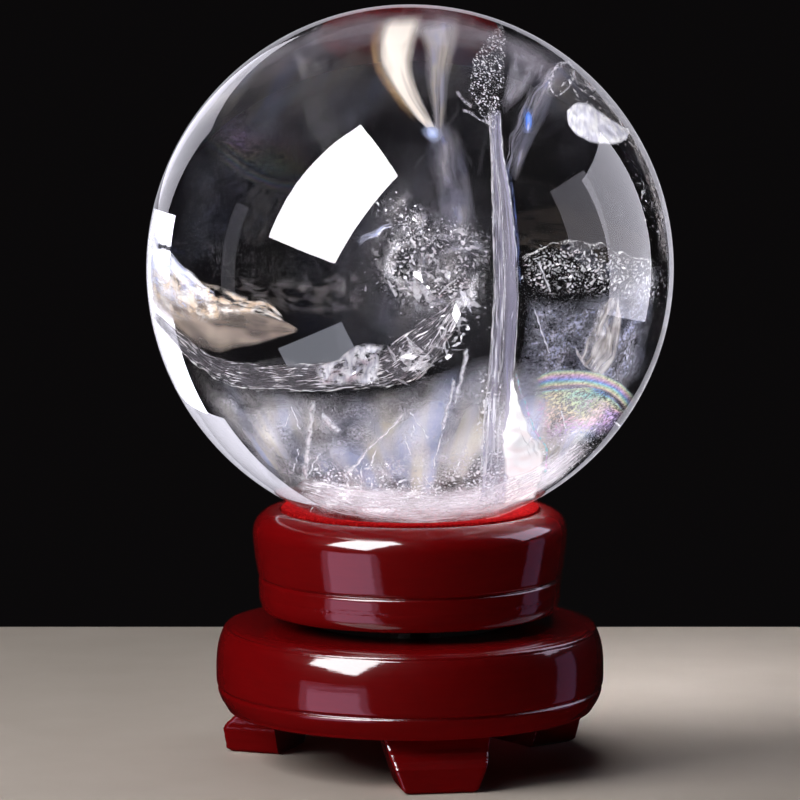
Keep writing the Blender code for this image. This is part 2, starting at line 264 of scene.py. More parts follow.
def drum_side(height):
    """Radius of the drum's side, before its groove."""
    if height < DRUM_GROOVE:
        share = (height - DRUM_BOTTOM) / (DRUM_GROOVE - DRUM_BOTTOM)
        return DRUM_FOOT_RADIUS + (DRUM_GROOVE_RADIUS - DRUM_FOOT_RADIUS) * share
    fall = (DRUM_SHOULDER - height) / (DRUM_SHOULDER - DRUM_GROOVE)
    return DRUM_RADIUS - (DRUM_RADIUS - DRUM_GROOVE_RADIUS) * fall ** DRUM_TAPER


def side_points(side, groove_level, top, bottom, steps):
    points = []
    for height in np.linspace(top, bottom, steps):
        points.append((side(height) - score(height, groove_level), height))
    return points


def drum_outline():
    pocket = FELT_BOTTOM - GAP
    bowl = dish(DISH_RADIUS, pocket, 24)
    lip = [(FELT_RADIUS + GAP, pocket), (FELT_RADIUS + GAP, DRUM_TOP - 0.1 * MM),
           (FELT_RADIUS + 1.3 * GAP, DRUM_TOP)]
    shoulder = arc(DRUM_LIP, DRUM_SHOULDER, DRUM_RADIUS - DRUM_LIP, DRUM_TOP - DRUM_SHOULDER,
                   90.0, 0.0, 28)
    edge_top = DRUM_BOTTOM + DRUM_EDGE_HEIGHT
    side = side_points(drum_side, DRUM_GROOVE, DRUM_SHOULDER, edge_top, 90)[1:]
    edge = arc(side[-1][0] - DRUM_EDGE_WIDTH, edge_top, DRUM_EDGE_WIDTH, DRUM_EDGE_HEIGHT,
               0.0, -90.0, 16)[1:]
    hole = [(PIVOT_HOLE, DRUM_BOTTOM), (PIVOT_HOLE, PIVOT_HOLE_TOP), (0.0, PIVOT_HOLE_TOP)]
    return bowl + lip + shoulder + side + edge + hole


def base_side(height):
    """Radius of the base disc's bulged side, before its groove."""
    if height > BASE_WIDEST:
        end, drop = BASE_SHOULDER, BASE_RADIUS - BASE_SHOULDER_RADIUS
    else:
        end, drop = BASE_BOTTOM, BASE_RADIUS - BASE_BOTTOM_RADIUS
    return BASE_RADIUS - drop * ((height - BASE_WIDEST) / (end - BASE_WIDEST)) ** BASE_BULGE


def base_outline():
    top = [(BEARING_SEAT, BASE_TOP), (20.0 * MM, BASE_TOP), (BASE_FLAT_RADIUS, BASE_TOP),
           (32.5 * MM, BASE_TOP - 0.12 * MM), (34.2 * MM, BASE_TOP - 0.42 * MM),
           (34.65 * MM, BASE_TOP - 0.62 * MM)]
    bead = arc(BASE_BEAD_RADIUS - 0.1 * MM, BASE_SHOULDER + 0.12 * MM, 0.62 * MM, 0.56 * MM,
               118.0, -8.0, 12)
    side = side_points(base_side, BASE_GROOVE, BASE_SHOULDER - 0.2 * MM, BASE_BOTTOM + 0.6 * MM,
                       110)
    edge = arc(side[-1][0] - 0.6 * MM, BASE_BOTTOM + 0.6 * MM, 0.6 * MM, 0.6 * MM,
               0.0, -90.0, 6)[1:]
    bore = [(SOCKET_BORE, BASE_BOTTOM), (SOCKET_BORE, BEARING_LEDGE),
            (BEARING_SEAT, BEARING_LEDGE)]
    return top + bead + side + edge + bore


def foot_size(height):
    """Reach and half width of a foot at a height."""
    levels = np.array(FOOT_LEVELS) * MM
    reach = np.interp(height, levels[:, 0], levels[:, 1])
    half = np.interp(height, levels[:, 0], levels[:, 2])
    for level in FOOT_RIDGES:
        reach += FOOT_RIDGE_DEPTH * math.exp(-((height / MM - level) / FOOT_RIDGE_REACH) ** 2)
    return reach - FOOT_RIDGE_DEPTH, half


def rounded_rectangle(reach, half, corner, steps):
    """Corners of a rectangle from FOOT_INNER out to reach, with its outer corners rounded."""
    points = [(half, -FOOT_INNER), (half, -(FOOT_INNER + reach) / 2)]
    for side, start in ((1, 0.0), (-1, 90.0)):
        for turn in np.radians(np.linspace(start, start + 90.0, steps)):
            points.append((side * (half - corner) + corner * math.cos(turn),
                           -(reach - corner) - corner * math.sin(turn)))
    points.append((-half, -(FOOT_INNER + reach) / 2))
    points.append((-half, -FOOT_INNER))
    return points


def stub_foot(name, angle, look):
    """A foot with a cove above its toe, worn at its edges, and its screw's countersink."""
    heights = np.concatenate([np.linspace(0.0, 0.9, 6), np.linspace(1.2, FOOT_HEIGHT, 70)]) * MM
    points, count = [], 0
    for height in heights:
        reach, half = foot_size(height)
        inset = 0.25 * MM * max(0.0, 1.0 - height / (0.4 * MM)) ** 2
        ring = rounded_rectangle(reach - inset, half - inset, 0.75 * MM, 7)
        ring = [(x, y, height) for x, y in dense(ring, 0.35 * MM)]
        count = count or len(ring)
        points.append(resample(ring, count))
    rings = np.array(points)
    flat = rings.reshape(-1, 3)
    corner = np.exp(-((np.abs(flat[:, 0]) / np.max(np.abs(flat[:, 0])) - 1.0) / 0.25) ** 2)
    flat[:, :2] *= 1.0 - (0.0012 + 0.004 * corner[:, None]) * np.abs(
        rough(flat, 0.8 * MM, 1.0, 5))[:, None]
    faces = grid_faces(len(heights), count, False, True)
    faces.append(tuple(range(count))[::-1])
    faces.append(tuple(range((len(heights) - 1) * count, len(heights) * count)))
    obj = add_mesh(name, flat, faces, look)
    obj.data.transform(Matrix.Rotation(math.radians(angle), 4, "Z"))
    tidy_mesh(obj)
    sink_hole(obj, angle)
    obj.data.set_sharp_from_angle(angle=math.radians(50.0))
    return obj


def dense(points, step):
    """The same closed outline with a point at least every step."""
    made = []
    for start, end in zip(points, points[1:] + points[:1]):
        length = math.dist(start, end)
        pieces = max(1, round(length / step))
        for index in range(pieces):
            share = index / pieces
            made.append((start[0] + (end[0] - start[0]) * share,
                         start[1] + (end[1] - start[1]) * share))
    return made


def resample(ring, count):
    """The closed ring with exactly count points, evenly spread along it."""
    ring = np.array(ring + ring[:1])
    steps = np.linalg.norm(np.diff(ring, axis=0), axis=1)
    along = np.concatenate([[0.0], np.cumsum(steps)])
    wanted = np.linspace(0.0, along[-1], count, endpoint=False)
    return np.stack([np.interp(wanted, along, ring[:, axis]) for axis in range(3)], axis=-1)


def sink_hole(obj, angle):
    """Cut the screw's countersink into the underside of a foot."""
    bm = bmesh.new()
    bmesh.ops.create_cone(bm, cap_ends=True, segments=48, radius1=FOOT_HOLE_RADIUS,
                          radius2=FOOT_HOLE_RADIUS, depth=2 * FOOT_HOLE_DEPTH)
    place = Vector((0.0, -FOOT_SCREW_AT, 0.0))
    place.rotate(Euler((0.0, 0.0, math.radians(angle))))
    bmesh.ops.translate(bm, vec=place, verts=bm.verts)
    mesh = bpy.data.meshes.new("cutter")
    bm.to_mesh(mesh)
    bm.free()
    cutter = bpy.data.objects.new("cutter", mesh)
    bpy.context.scene.collection.objects.link(cutter)
    hole = obj.modifiers.new("hole", "BOOLEAN")
    hole.operation = "DIFFERENCE"
    hole.object = cutter
    bpy.context.view_layer.update()
    shaped = bpy.data.meshes.new_from_object(
        obj.evaluated_get(bpy.context.evaluated_depsgraph_get()))
    obj.modifiers.clear()
    obj.data = shaped
    bpy.data.objects.remove(cutter)


# Places inside the ball

def unit(vectors):
    return vectors / np.linalg.norm(vectors, axis=-1, keepdims=True)


def inside(places):
    """Points inside the ball for places (across, up, share) as seen from the front.

    across and up are in radii of the ball's disc. share is how far along its path through
    the ball the point lies, from 0 at the front surface to 1 at the back.
    """
    places = np.asarray(places, float)
    eye, centre = np.array(CAMERA_PLACE), np.array(BALL_CENTRE)
    ahead = centre - eye
    distance = np.linalg.norm(ahead)
    ahead = ahead / distance
    right = unit(np.cross(ahead, (0.0, 0.0, 1.0)))
    above = np.cross(right, ahead)
    spread = BALL_RADIUS / math.sqrt(distance ** 2 - BALL_RADIUS ** 2)
    reach = np.linalg.norm(places[..., :2], axis=-1, keepdims=True)
    disc = places[..., :2] * np.minimum(1.0, LIMB_REACH / np.maximum(reach, 1e-9))
    ray = unit(ahead + spread * (disc[..., :1] * right + disc[..., 1:] * above))
    towards = (ray @ ahead)[..., None] * distance
    enter = towards - np.sqrt(np.maximum(
        towards ** 2 - distance ** 2 + BALL_RADIUS ** 2, 0.0))
    surface = eye + ray * enter
    normal = (surface - centre) / BALL_RADIUS
    facing = -(ray * normal).sum(-1, keepdims=True)
    bent = ray / QUARTZ_IOR + (facing / QUARTZ_IOR - np.sqrt(
        1.0 - (1.0 - facing ** 2) / QUARTZ_IOR ** 2)) * normal
    chord = -2.0 * (bent * (surface - centre)).sum(-1, keepdims=True)
    return surface + bent * chord * np.clip(places[..., 2:], *SHARE_LIMITS)


def smooth(points, count):
    """A smooth curve through the points, along their first axis."""
    points = np.asarray(points, float)
    padded = np.concatenate([2 * points[:1] - points[1:2], points,
                             2 * points[-1:] - points[-2:-1]])
    along = np.linspace(0.0, len(points) - 1.0, count)
    index = np.minimum(along.astype(int), len(points) - 2)
    part = (along - index).reshape((-1,) + (1,) * (points.ndim - 1))
    a, b, c, d = (padded[index + shift] for shift in range(4))
    return 0.5 * (2 * b + (c - a) * part + (2 * a - 5 * b + 4 * c - d) * part ** 2
                  + (3 * b - a - 3 * c + d) * part ** 3)


def sheet_through(name, curves, look, size, crumple=0.4, grain=3.0, seed=1):
    """A thin crack or veil inside the ball, lofted through curves of places.

    size is (rows, columns). It is crumpled by noise of this depth and grain, in mm.
    """
    rows, columns = size
    guides = np.stack([smooth(curve, columns) for curve in curves])
    places = smooth(guides, rows) if len(curves) > 1 else guides
    points = inside(places).reshape(-1, 3)
    shift = np.stack([rough(points, grain * MM, crumple * MM, seed + axis)
                      for axis in range(3)], axis=-1)
    points = keep_inside(points + shift)
    across, along = np.meshgrid(np.linspace(0, 1, columns), np.linspace(0, 1, rows))
    uv = np.stack([across.ravel(), along.ravel()], axis=-1)
    return add_mesh(name, points, grid_faces(rows, columns), look, uv)


def keep_inside(points):
    """Draw points in that would come too near the ball's surface."""
    centre = np.array(BALL_CENTRE)
    away = points - centre
    reach = np.linalg.norm(away, axis=1, keepdims=True)
    limit = BALL_RADIUS - LEAST_WALL
    return centre + away * np.minimum(1.0, limit / np.maximum(reach, 1e-9))


def cloud(name, spine, count, spread, size, look, seed, clump=0.0, length=1.0):
    """Flakes scattered round a line of places: tiny flat shards in every direction.

    spread is the scatter (across, up, share). size is the flakes' smallest and largest
    radius in mm. clump leaves out the flakes where a noise is below it. length draws
    them out into needles.
    """
    draw = np.random.default_rng(seed)
    line = smooth(spine, 200)
    picked = line[draw.integers(0, 200, count)]
    places = picked + draw.normal(size=(count, 3)) * np.array(spread)
    places[:, 2] = np.clip(places[:, 2], 0.02, 0.97)
    inner = np.linalg.norm(places[:, :2], axis=1) < 0.985
    centres = inside(places[inner])
    keep = rough(centres, 2.4 * MM, 1.0, seed) > clump
    centres = centres[keep]
    return shards(name, centres, size, look, draw, length)


def shards(name, centres, size, look, draw, length):
    """A small irregular four-cornered flake at each centre."""
    count = len(centres)
    low, high = size
    radius = (low + (high - low) * draw.random(count) ** 3)[:, None] * MM
    first = unit(draw.normal(size=(count, 3)))
    second = unit(np.cross(first, draw.normal(size=(count, 3))))
    points = []
    for turn in range(4):
        angle = math.tau * turn / 4 + draw.normal(size=(count, 1)) * 0.35
        stretch = radius * (0.5 + draw.random((count, 1)))
        points.append(centres + stretch * (length * np.cos(angle) * first
                                           + np.sin(angle) * second))
    points = keep_inside(np.stack(points, axis=1).reshape(-1, 3))
    faces = np.arange(4 * count).reshape(-1, 4).tolist()
    obj = add_mesh(name, points, faces, look)
    obj.data.shade_flat()
    return obj


# Node helpers

def blank(name):
    look = bpy.data.materials.new(name)
    look.use_nodes = True
    look.node_tree.nodes.clear()
    return look, look.node_tree


def node(tree, kind, inputs=None, **settings):
    """A shader node with its inputs set or linked, by name or by index."""
    made = tree.nodes.new("ShaderNode" + kind)
    for key, value in settings.items():
        setattr(made, key, value)
    for key, value in (inputs or {}).items():
        if isinstance(value, bpy.types.NodeSocket):
            tree.links.new(value, made.inputs[key])
        else:
            made.inputs[key].default_value = value
    return made


def sums(tree, operation, first, second=0.0):
    return node(tree, "Math", {0: first, 1: second}, operation=operation).outputs[0]


def ramp(tree, value, low, high, start=0.0, end=1.0):
    """Value rising from start to end between low and high."""
    made = node(tree, "MapRange", {"Value": value, "From Min": low, "From Max": high,
                                   "To Min": start, "To Max": end})
    return made.outputs["Result"]


def noise_at(tree, vector, scale, detail=4.0, roughness=0.5, kind="FBM"):
    made = node(tree, "TexNoise", {"Vector": vector, "Scale": scale, "Detail": detail,
                                   "Roughness": roughness}, noise_type=kind)
    return made.outputs["Fac"]


def coordinates(tree, kind="Object"):
    return node(tree, "TexCoord").outputs[kind]


def stretched(tree, vector, scale):
    return node(tree, "Mapping", {"Vector": vector, "Scale": scale}).outputs[0]


def colours(tree, value, stops):
    """A colour ramp through (place, colour) stops."""
    made = node(tree, "ValToRGB", {"Fac": value})
    elements = made.color_ramp.elements
    elements[0].position, elements[0].color = stops[0][0], (*stops[0][1], 1.0)
    elements[1].position, elements[1].color = stops[-1][0], (*stops[-1][1], 1.0)
    for place, colour in stops[1:-1]:
        elements.new(place).color = (*colour, 1.0)
    return made.outputs["Color"]


def bump(tree, height, distance, strength=1.0):
    made = node(tree, "Bump", {"Height": height, "Distance": distance, "Strength": strength})
    return made.outputs["Normal"]


def finish_with(tree, shader):
    node(tree, "OutputMaterial", {"Surface": shader})


def principled(tree, **inputs):
    named = {key.replace("_", " "): value for key, value in inputs.items()}
    return node(tree, "BsdfPrincipled", named).outputs["BSDF"]


# Materials

def crystal_look():
    """Clear quartz. Lamps shine through it, a little weakened, on to what lies inside."""
    look, tree = blank("rock_crystal_clear")
    glass = principled(tree, Base_Color=(0.985, 0.985, 0.992, 1.0), Roughness=0.0,
                       IOR=QUARTZ_IOR, Transmission_Weight=1.0)
    lamp_path = node(tree, "BsdfTransparent", {"Color": (0.78, 0.78, 0.80, 1.0)})
    is_lamp = node(tree, "LightPath").outputs["Is Shadow Ray"]
    mixed = node(tree, "MixShader", {0: is_lamp, 1: glass, 2: lamp_path.outputs[0]})
    finish_with(tree, mixed.outputs[0])
    return look


def edge_fade(tree, uv, soft_across, soft_along):
    """0 at the edges of a sheet, rising to 1 inside them."""
    split = node(tree, "SeparateXYZ", {0: uv})
    fades = []
    for axis, soft in ((0, soft_across), (1, soft_along)):
        value = split.outputs[axis]
        near = sums(tree, "MINIMUM", value, sums(tree, "SUBTRACT", 1.0, value))
        fades.append(ramp(tree, near, 0.0, soft))
    return sums(tree, "MULTIPLY", fades[0], fades[1])


def inclusion(name, colour, cover, shine, rough_shine=0.15):
    """A crack surface inside the quartz: partly see-through, white and a little shiny."""
    look, tree = blank(name)
    flat = node(tree, "BsdfDiffuse", {"Color": colour})
    through = node(tree, "BsdfTranslucent", {"Color": colour})
    body = node(tree, "MixShader", {0: 0.5, 1: flat.outputs[0], 2: through.outputs[0]})
    gloss = node(tree, "BsdfGlossy", {"Color": (1.0, 1.0, 1.0, 1.0),
                                      "Roughness": rough_shine})
    lit = node(tree, "MixShader", {0: shine, 1: body.outputs[0], 2: gloss.outputs[0]})
    clear = node(tree, "BsdfTransparent")
    mixed = node(tree, "MixShader", {0: cover, 1: clear.outputs[0], 2: lit.outputs[0]})
    finish_with(tree, mixed.outputs[0])
    return look, tree, mixed, (flat, through, gloss)


def veil_look(name, colour, cover, streaks, band, fades, shine=0.15, second=None,
              detail=6.0, crackle=0.0, grain=0.0):
    """A veil whose cover follows stretched noise, with faded edges.

    streaks is the noise's scale (across, along) over the whole sheet, band the values of
    the noise between which the cover rises, and fades how much of the sheet each edge's
    fade takes up (across, along). second is the colour that it drifts to in places.
    crackle, a noise scale, breaks it up into thin crossing lines. grain breaks it up into
    specks, which lie closer together the larger it is.
    """
    look, tree, mixed, shaders = inclusion(name, (*colour, 1.0), cover, shine)
    uv = coordinates(tree, "UV")
    place = coordinates(tree)
    pattern = noise_at(tree, stretched(tree, uv, (*streaks, 1.0)), 1.0, detail, 0.6)
    amount = ramp(tree, pattern, *band)
    amount = sums(tree, "MULTIPLY", amount, edge_fade(tree, uv, *fades))
    if grain:
        specks = noise_at(tree, place, 2600.0, 2.0, 0.7)
        keep = ramp(tree, specks, 0.5 - 0.12 * grain, 0.5 + 0.16)
        amount = sums(tree, "MULTIPLY", amount, keep)
    if crackle:
        lines = noise_at(tree, place, crackle, 3.0, 0.55, "RIDGED_MULTIFRACTAL")
        amount = sums(tree, "MULTIPLY", amount, ramp(tree, lines, *CRACKLE_BAND))
    if second:
        drift = noise_at(tree, stretched(tree, uv, (2.3 * streaks[0], 0.7 * streaks[1], 3.0)),
                         1.0, 2.0)
        tint = colours(tree, drift, ((0.38, colour), (0.62, second)))
        for shader in shaders[:2]:
            tree.links.new(tint, shader.inputs["Color"])
    tree.links.new(sums(tree, "MULTIPLY", amount, cover), mixed.inputs[0])
    return look


def rainbow_look(name, cover, turns, drift, specks, fades=(0.2, 0.2)):
    """A thin crack with interference colours that run along it in arcs.

    turns is how often the colours repeat across it, drift how far noise moves them and
    specks how much of it the noise breaks away.
    """
    look, tree, mixed, shaders = inclusion(name, (1.0, 1.0, 1.0, 1.0), cover, 0.15)
    uv = coordinates(tree, "UV")
    across = node(tree, "SeparateXYZ", {0: uv}).outputs[1]
    wander = noise_at(tree, stretched(tree, uv, (2.5, 2.5, 1.0)), 1.0, 3.0, 0.45)
    turn = sums(tree, "FRACT", sums(tree, "ADD", sums(tree, "MULTIPLY", across, turns),
                                    sums(tree, "MULTIPLY", wander, drift)))
    tint = colours(tree, turn, (
        (0.0, (0.30, 0.48, 0.98)), (0.16, (0.45, 0.85, 0.85)), (0.32, (0.75, 0.90, 0.60)),
        (0.48, (0.92, 0.80, 0.58)), (0.66, (0.92, 0.60, 0.80)), (0.84, (0.62, 0.48, 0.90)),
        (1.0, (0.30, 0.48, 0.98))))
    for shader in shaders:
        tree.links.new(tint, shader.inputs["Color"])
    dust = noise_at(tree, coordinates(tree), 1900.0, 3.0, 0.75)
    amount = sums(tree, "MULTIPLY", ramp(tree, dust, 0.5 - 0.3 * (1.0 - specks), 0.62),
                  edge_fade(tree, uv, *fades))
    tree.links.new(sums(tree, "MULTIPLY", amount, cover), mixed.inputs[0])
    return look


def flake_look(name, colour, cover, shine):
    """Tiny crack faces that catch the lamps, each as bright as a noise makes it."""
    look, tree, mixed, _ = inclusion(name, (*colour, 1.0), cover, shine, 0.25)
    varied = ramp(tree, noise_at(tree, coordinates(tree), 900.0, 2.0), 0.35, 0.65, 0.35, 1.0)
    tree.links.new(sums(tree, "MULTIPLY", varied, cover), mixed.inputs[0])
    return look


def lacquer_look(name, colour, dark, shift, rough_levels=()):
    """Red lacquer over turned wood, with faint grain, thin places and orange peel.

    shift moves the grain along. rough_levels are the heights of scored or beaded lines,
    where the lacquer is beaded.
    """
    look, tree = blank(name)
    place = coordinates(tree)
    shifted = node(tree, "Mapping", {"Vector": place, "Location": (shift, 0.3, 0.1)})
    grain = noise_at(tree, stretched(tree, shifted.outputs[0], (1.0, 1.0, 9.0)), 140.0, 5.0)
    cloudy = noise_at(tree, shifted.outputs[0], 55.0, 3.0)
    mixed = sums(tree, "MULTIPLY", ramp(tree, grain, 0.3, 0.7, 0.75, 1.0),
                 ramp(tree, cloudy, 0.3, 0.7, 0.8, 1.0))
    tint = node(tree, "Mix", {0: mixed, 6: (*dark, 1.0), 7: (*colour, 1.0)},
                data_type="RGBA").outputs[2]
    peel = noise_at(tree, place, 620.0, 2.0)
    fine = noise_at(tree, place, 5200.0, 2.0)
    rubbed = noise_at(tree, stretched(tree, place, (1.0, 1.0, 14.0)), 60.0, 3.0)
    height = sums(tree, "ADD", peel, sums(tree, "MULTIPLY", fine, 0.06))
    height = sums(tree, "ADD", height, sums(tree, "MULTIPLY", rubbed, 2.2))
    level_here = node(tree, "SeparateXYZ", {0: place}).outputs[2]
    beads = noise_at(tree, place, 1500.0, 3.0, 0.6)
    for level in rough_levels:
        away = sums(tree, "ABSOLUTE", sums(tree, "SUBTRACT", level_here, level))
        near = ramp(tree, away, 0.15 * MM, 0.75 * MM, 5.0, 0.0)
        height = sums(tree, "ADD", height, sums(tree, "MULTIPLY", near, beads))
    normal = bump(tree, height, 0.012 * MM)
    wear = noise_at(tree, shifted.outputs[0], 260.0, 5.0, 0.6)
    finish_with(tree, principled(
        tree, Base_Color=tint, Roughness=ramp(tree, wear, 0.3, 0.7, 0.30, 0.46),
        Specular_IOR_Level=0.02, Coat_Weight=1.0, Coat_Roughness=0.08, Coat_IOR=1.5,
        Normal=normal, Coat_Normal=normal))
    return look


def felt_look(name):
    """Red wool felt: matted fibres of uneven tone, with painted sheen where the nap stands up and
    painted shade between the fibres.
    """
    look, tree = blank(name)
    place = coordinates(tree)
    matted = noise_at(tree, place, 1700.0, 6.0, 0.7)
    long_fibres = noise_at(tree, stretched(tree, place, (1.0, 0.35, 1.0)), 3400.0, 3.0, 0.6)
    mixed = sums(tree, "MULTIPLY", matted, long_fibres)
    # Painted sheen and shade: the noise that raises the nap also makes the felt paler on top of
    # the fibres and darker in the hollows between them.
    tint = colours(tree, ramp(tree, mixed, 0.12, 0.42), (
        (0.0, (0.08, 0.001, 0.001)), (0.5, (0.34, 0.003, 0.004)), (1.0, (0.75, 0.03, 0.03))))
    finish_with(tree, principled(
        tree, Base_Color=tint, Roughness=0.95, Specular_IOR_Level=0.0, Sheen_Weight=0.06,
        Sheen_Roughness=0.4, Sheen_Tint=(1.0, 0.20, 0.22, 1.0),
        Normal=bump(tree, mixed, 0.12 * MM)))
    return look


def metal_look(name, colour, low, high, line_scale, mottle_scale):
    """Metal with fine turning lines round the axis and a slight mottle."""
    look, tree = blank(name)
    place = coordinates(tree)
    split = node(tree, "SeparateXYZ", {0: place})
    squares = sums(tree, "ADD", sums(tree, "POWER", split.outputs[0], 2.0),
                   sums(tree, "POWER", split.outputs[1], 2.0))
    radius = sums(tree, "SQRT", squares)
    ringed = node(tree, "CombineXYZ", {0: radius, 1: 0.0, 2: split.outputs[2]}).outputs[0]
    lines = noise_at(tree, ringed, line_scale, 3.0)
    mottle = noise_at(tree, place, mottle_scale, 4.0)
    tint = node(tree, "Mix", {0: ramp(tree, mottle, 0.3, 0.7),
                              6: (*(0.82 * part for part in colour), 1.0),
                              7: (*colour, 1.0)}, data_type="RGBA").outputs[2]
    finish_with(tree, principled(
        tree, Base_Color=tint, Metallic=1.0, Roughness=ramp(tree, mottle, 0.3, 0.7, low, high),
        Normal=bump(tree, lines, 0.004 * MM)))
    return look


def nylon_look(name):
    look, tree = blank(name)
    mottle = noise_at(tree, coordinates(tree), 900.0, 4.0)
    tint = colours(tree, mottle, ((0.3, (0.60, 0.55, 0.44)), (0.7, (0.76, 0.72, 0.62))))
    finish_with(tree, principled(
        tree, Base_Color=tint, Roughness=ramp(tree, mottle, 0.3, 0.7, 0.42, 0.58),
        Subsurface_Weight=0.15, Normal=bump(tree, mottle, 0.01 * MM)))
    return look


def table_look(name, dark, pale):
    look, tree = blank(name)
    mottle = noise_at(tree, coordinates(tree), 60.0, 4.0)
    tint = colours(tree, mottle, ((0.3, dark), (0.7, pale)))
    finish_with(tree, principled(tree, Base_Color=tint, Roughness=0.55))
    return look


# Ball

def crystal_ball(look):
    """A finely divided sphere of six joined patches, so that its refraction is clean."""
    bm = bmesh.new()
    bmesh.ops.create_cube(bm, size=2.0)
    bmesh.ops.subdivide_edges(bm, edges=bm.edges, cuts=BALL_CUTS, use_grid_fill=True)
    for vert in bm.verts:
        x, y, z = (math.tan(part * math.pi / 4) for part in vert.co)
        vert.co = BALL_CENTRE + Vector((x, y, z)).normalized() * BALL_RADIUS
    mesh = bpy.data.meshes.new("crystal_sphere")
    bm.to_mesh(mesh)
    bm.free()
    mesh.shade_smooth()
    mesh.materials.append(look)
    ball = bpy.data.objects.new("crystal_sphere", mesh)
    bpy.context.scene.collection.objects.link(ball)
    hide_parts("crystal_ball")
    return ball


def at(places, share):
    """Places on the disc, all at one share or each at its own."""
    shares = share if isinstance(share, (list, tuple)) else [share] * len(places)
    return [(across, up, part) for (across, up), part in zip(places, shares)]


def ridge(name, line, width, look, seed, crumple=0.15):
    """A narrow ribbon along a line of places, such as the bright rim of a crack."""
    line = np.array(smooth(line, 120))
    side = np.gradient(line[:, :2], axis=0)
    side = unit(np.stack([-side[:, 1], side[:, 0]], axis=-1)) * width
    left, right = line.copy(), line.copy()
    left[:, :2] -= side
    right[:, :2] += side
    right[:, 2] += 0.01
    return sheet_through(name, [left, line, right], look, (5, 240), crumple, 1.6, seed)


def moved(places, across, up):
    return [(x + across, y + up) for x, y in places]


def sheets(rows):
    """A sheet between two lines on the disc for each row, each line at its own share."""
    return [sheet_through(name, [at(first, near), at(second, far)], *rest)
            for name, first, near, second, far, *rest in rows]


def ridges(rows):
    """A ridge along a line on the disc for each row, at its share."""
    return [ridge(name, at(line, share), *rest) for name, line, share, *rest in rows]


def hazes():
    """Faint smoke through the whole ball, denser and mottled in its lower half."""
    faint = veil_look("haze_faint", (0.30, 0.32, 0.55), 0.009, (2.0, 2.0), (0.15, 0.85),
                      (0.05, 0.05), shine=0.0, second=(0.50, 0.45, 0.42), detail=1.5)
    lower = veil_look("haze_lower", (0.66, 0.61, 0.54), 0.80, (7.0, 1.6), (0.34, 0.66),
                      (0.06, 0.28), shine=0.0, second=(0.46, 0.50, 0.70), detail=1.5)
    fine = veil_look("haze_fine", (0.85, 0.83, 0.90), 0.60, (12.0, 4.0), (0.38, 0.64),
                     (0.08, 0.26), shine=0.05, grain=1.6)
    side = veil_look("haze_side", (0.66, 0.66, 0.78), 0.75, (6.0, 5.0), (0.28, 0.62),
                     (0.12, 0.20), shine=0.05, second=(0.46, 0.49, 0.68), grain=1.6)
    middling = veil_look("haze_middle", (0.46, 0.43, 0.46), 0.15, (3.0, 3.0), (0.30, 0.66),
                         (0.28, 0.28), shine=0.0, second=(0.38, 0.38, 0.48), detail=4.0)
    smoke = veil_look("haze_smoke", (0.46, 0.45, 0.50), 0.04, (3.0, 2.2), (0.44, 0.72),
                      (0.25, 0.25), shine=0.0, second=(0.36, 0.38, 0.55), detail=2.0)
    levels = [0.93, 0.5, 0.0, -0.5, -0.93]
    whole = []
    for up in levels:
        half = math.sqrt(0.97 - up * up)
        whole.append([(half * part, up, 0.78) for part in (-1.0, -0.5, 0.0, 0.5, 1.0)])
    top = [(-0.86, -0.38), (-0.55, -0.46), (-0.10, -0.44), (0.28, -0.34), (0.62, -0.38),
           (0.86, -0.38)]
    middle = [(-0.70, -0.62), (-0.45, -0.66), (-0.08, -0.68), (0.22, -0.66), (0.50, -0.66),
              (0.74, -0.60)]
    bottom = [(-0.48, -0.85), (-0.30, -0.90), (-0.05, -0.93), (0.15, -0.93), (0.34, -0.90),
              (0.55, -0.80)]
    right_top = [(0.44, -0.08), (0.60, -0.10), (0.78, -0.06), (0.95, 0.04)]
    right_low = [(0.42, -0.44), (0.58, -0.46), (0.76, -0.46), (0.90, -0.40)]
    middle_top = [(-0.24, 0.42), (-0.06, 0.46), (0.14, 0.44), (0.36, 0.40)]
    middle_low = [(-0.30, -0.28), (-0.08, -0.42), (0.14, -0.42), (0.36, -0.40)]
    smoke_top = [(-0.82, 0.48), (-0.60, 0.70), (-0.30, 0.84), (-0.05, 0.90)]
    smoke_low = [(-0.80, 0.10), (-0.55, 0.36), (-0.30, 0.44), (-0.08, 0.42)]
    made = sheets((
        ("haze_upper_left", smoke_top, 0.7, smoke_low, 0.7, smoke, (40, 60), 1.5, 12.0, 76),
        ("haze_middle", middle_top, 0.72, middle_low, 0.66, middling, (60, 60), 1.5, 9.0, 75),
        ("haze_right", right_top, 0.45, right_low, 0.48, side, (50, 60), 1.0, 6.0, 74),
    ))
    made += [
        sheet_through("haze_whole", whole, faint, (60, 60), 0.8, 14.0, 71),
        sheet_through("haze_lower_soft", [at(top, 0.66), at(middle, 0.62), at(bottom, 0.58)],
                      lower, (60, 120), 1.0, 9.0, 72),
        sheet_through("haze_lower_fine", [at(top, 0.40), at(middle, 0.42), at(bottom, 0.45)],
                      fine, (60, 160), 1.0, 5.0, 73),
    ]
    return made


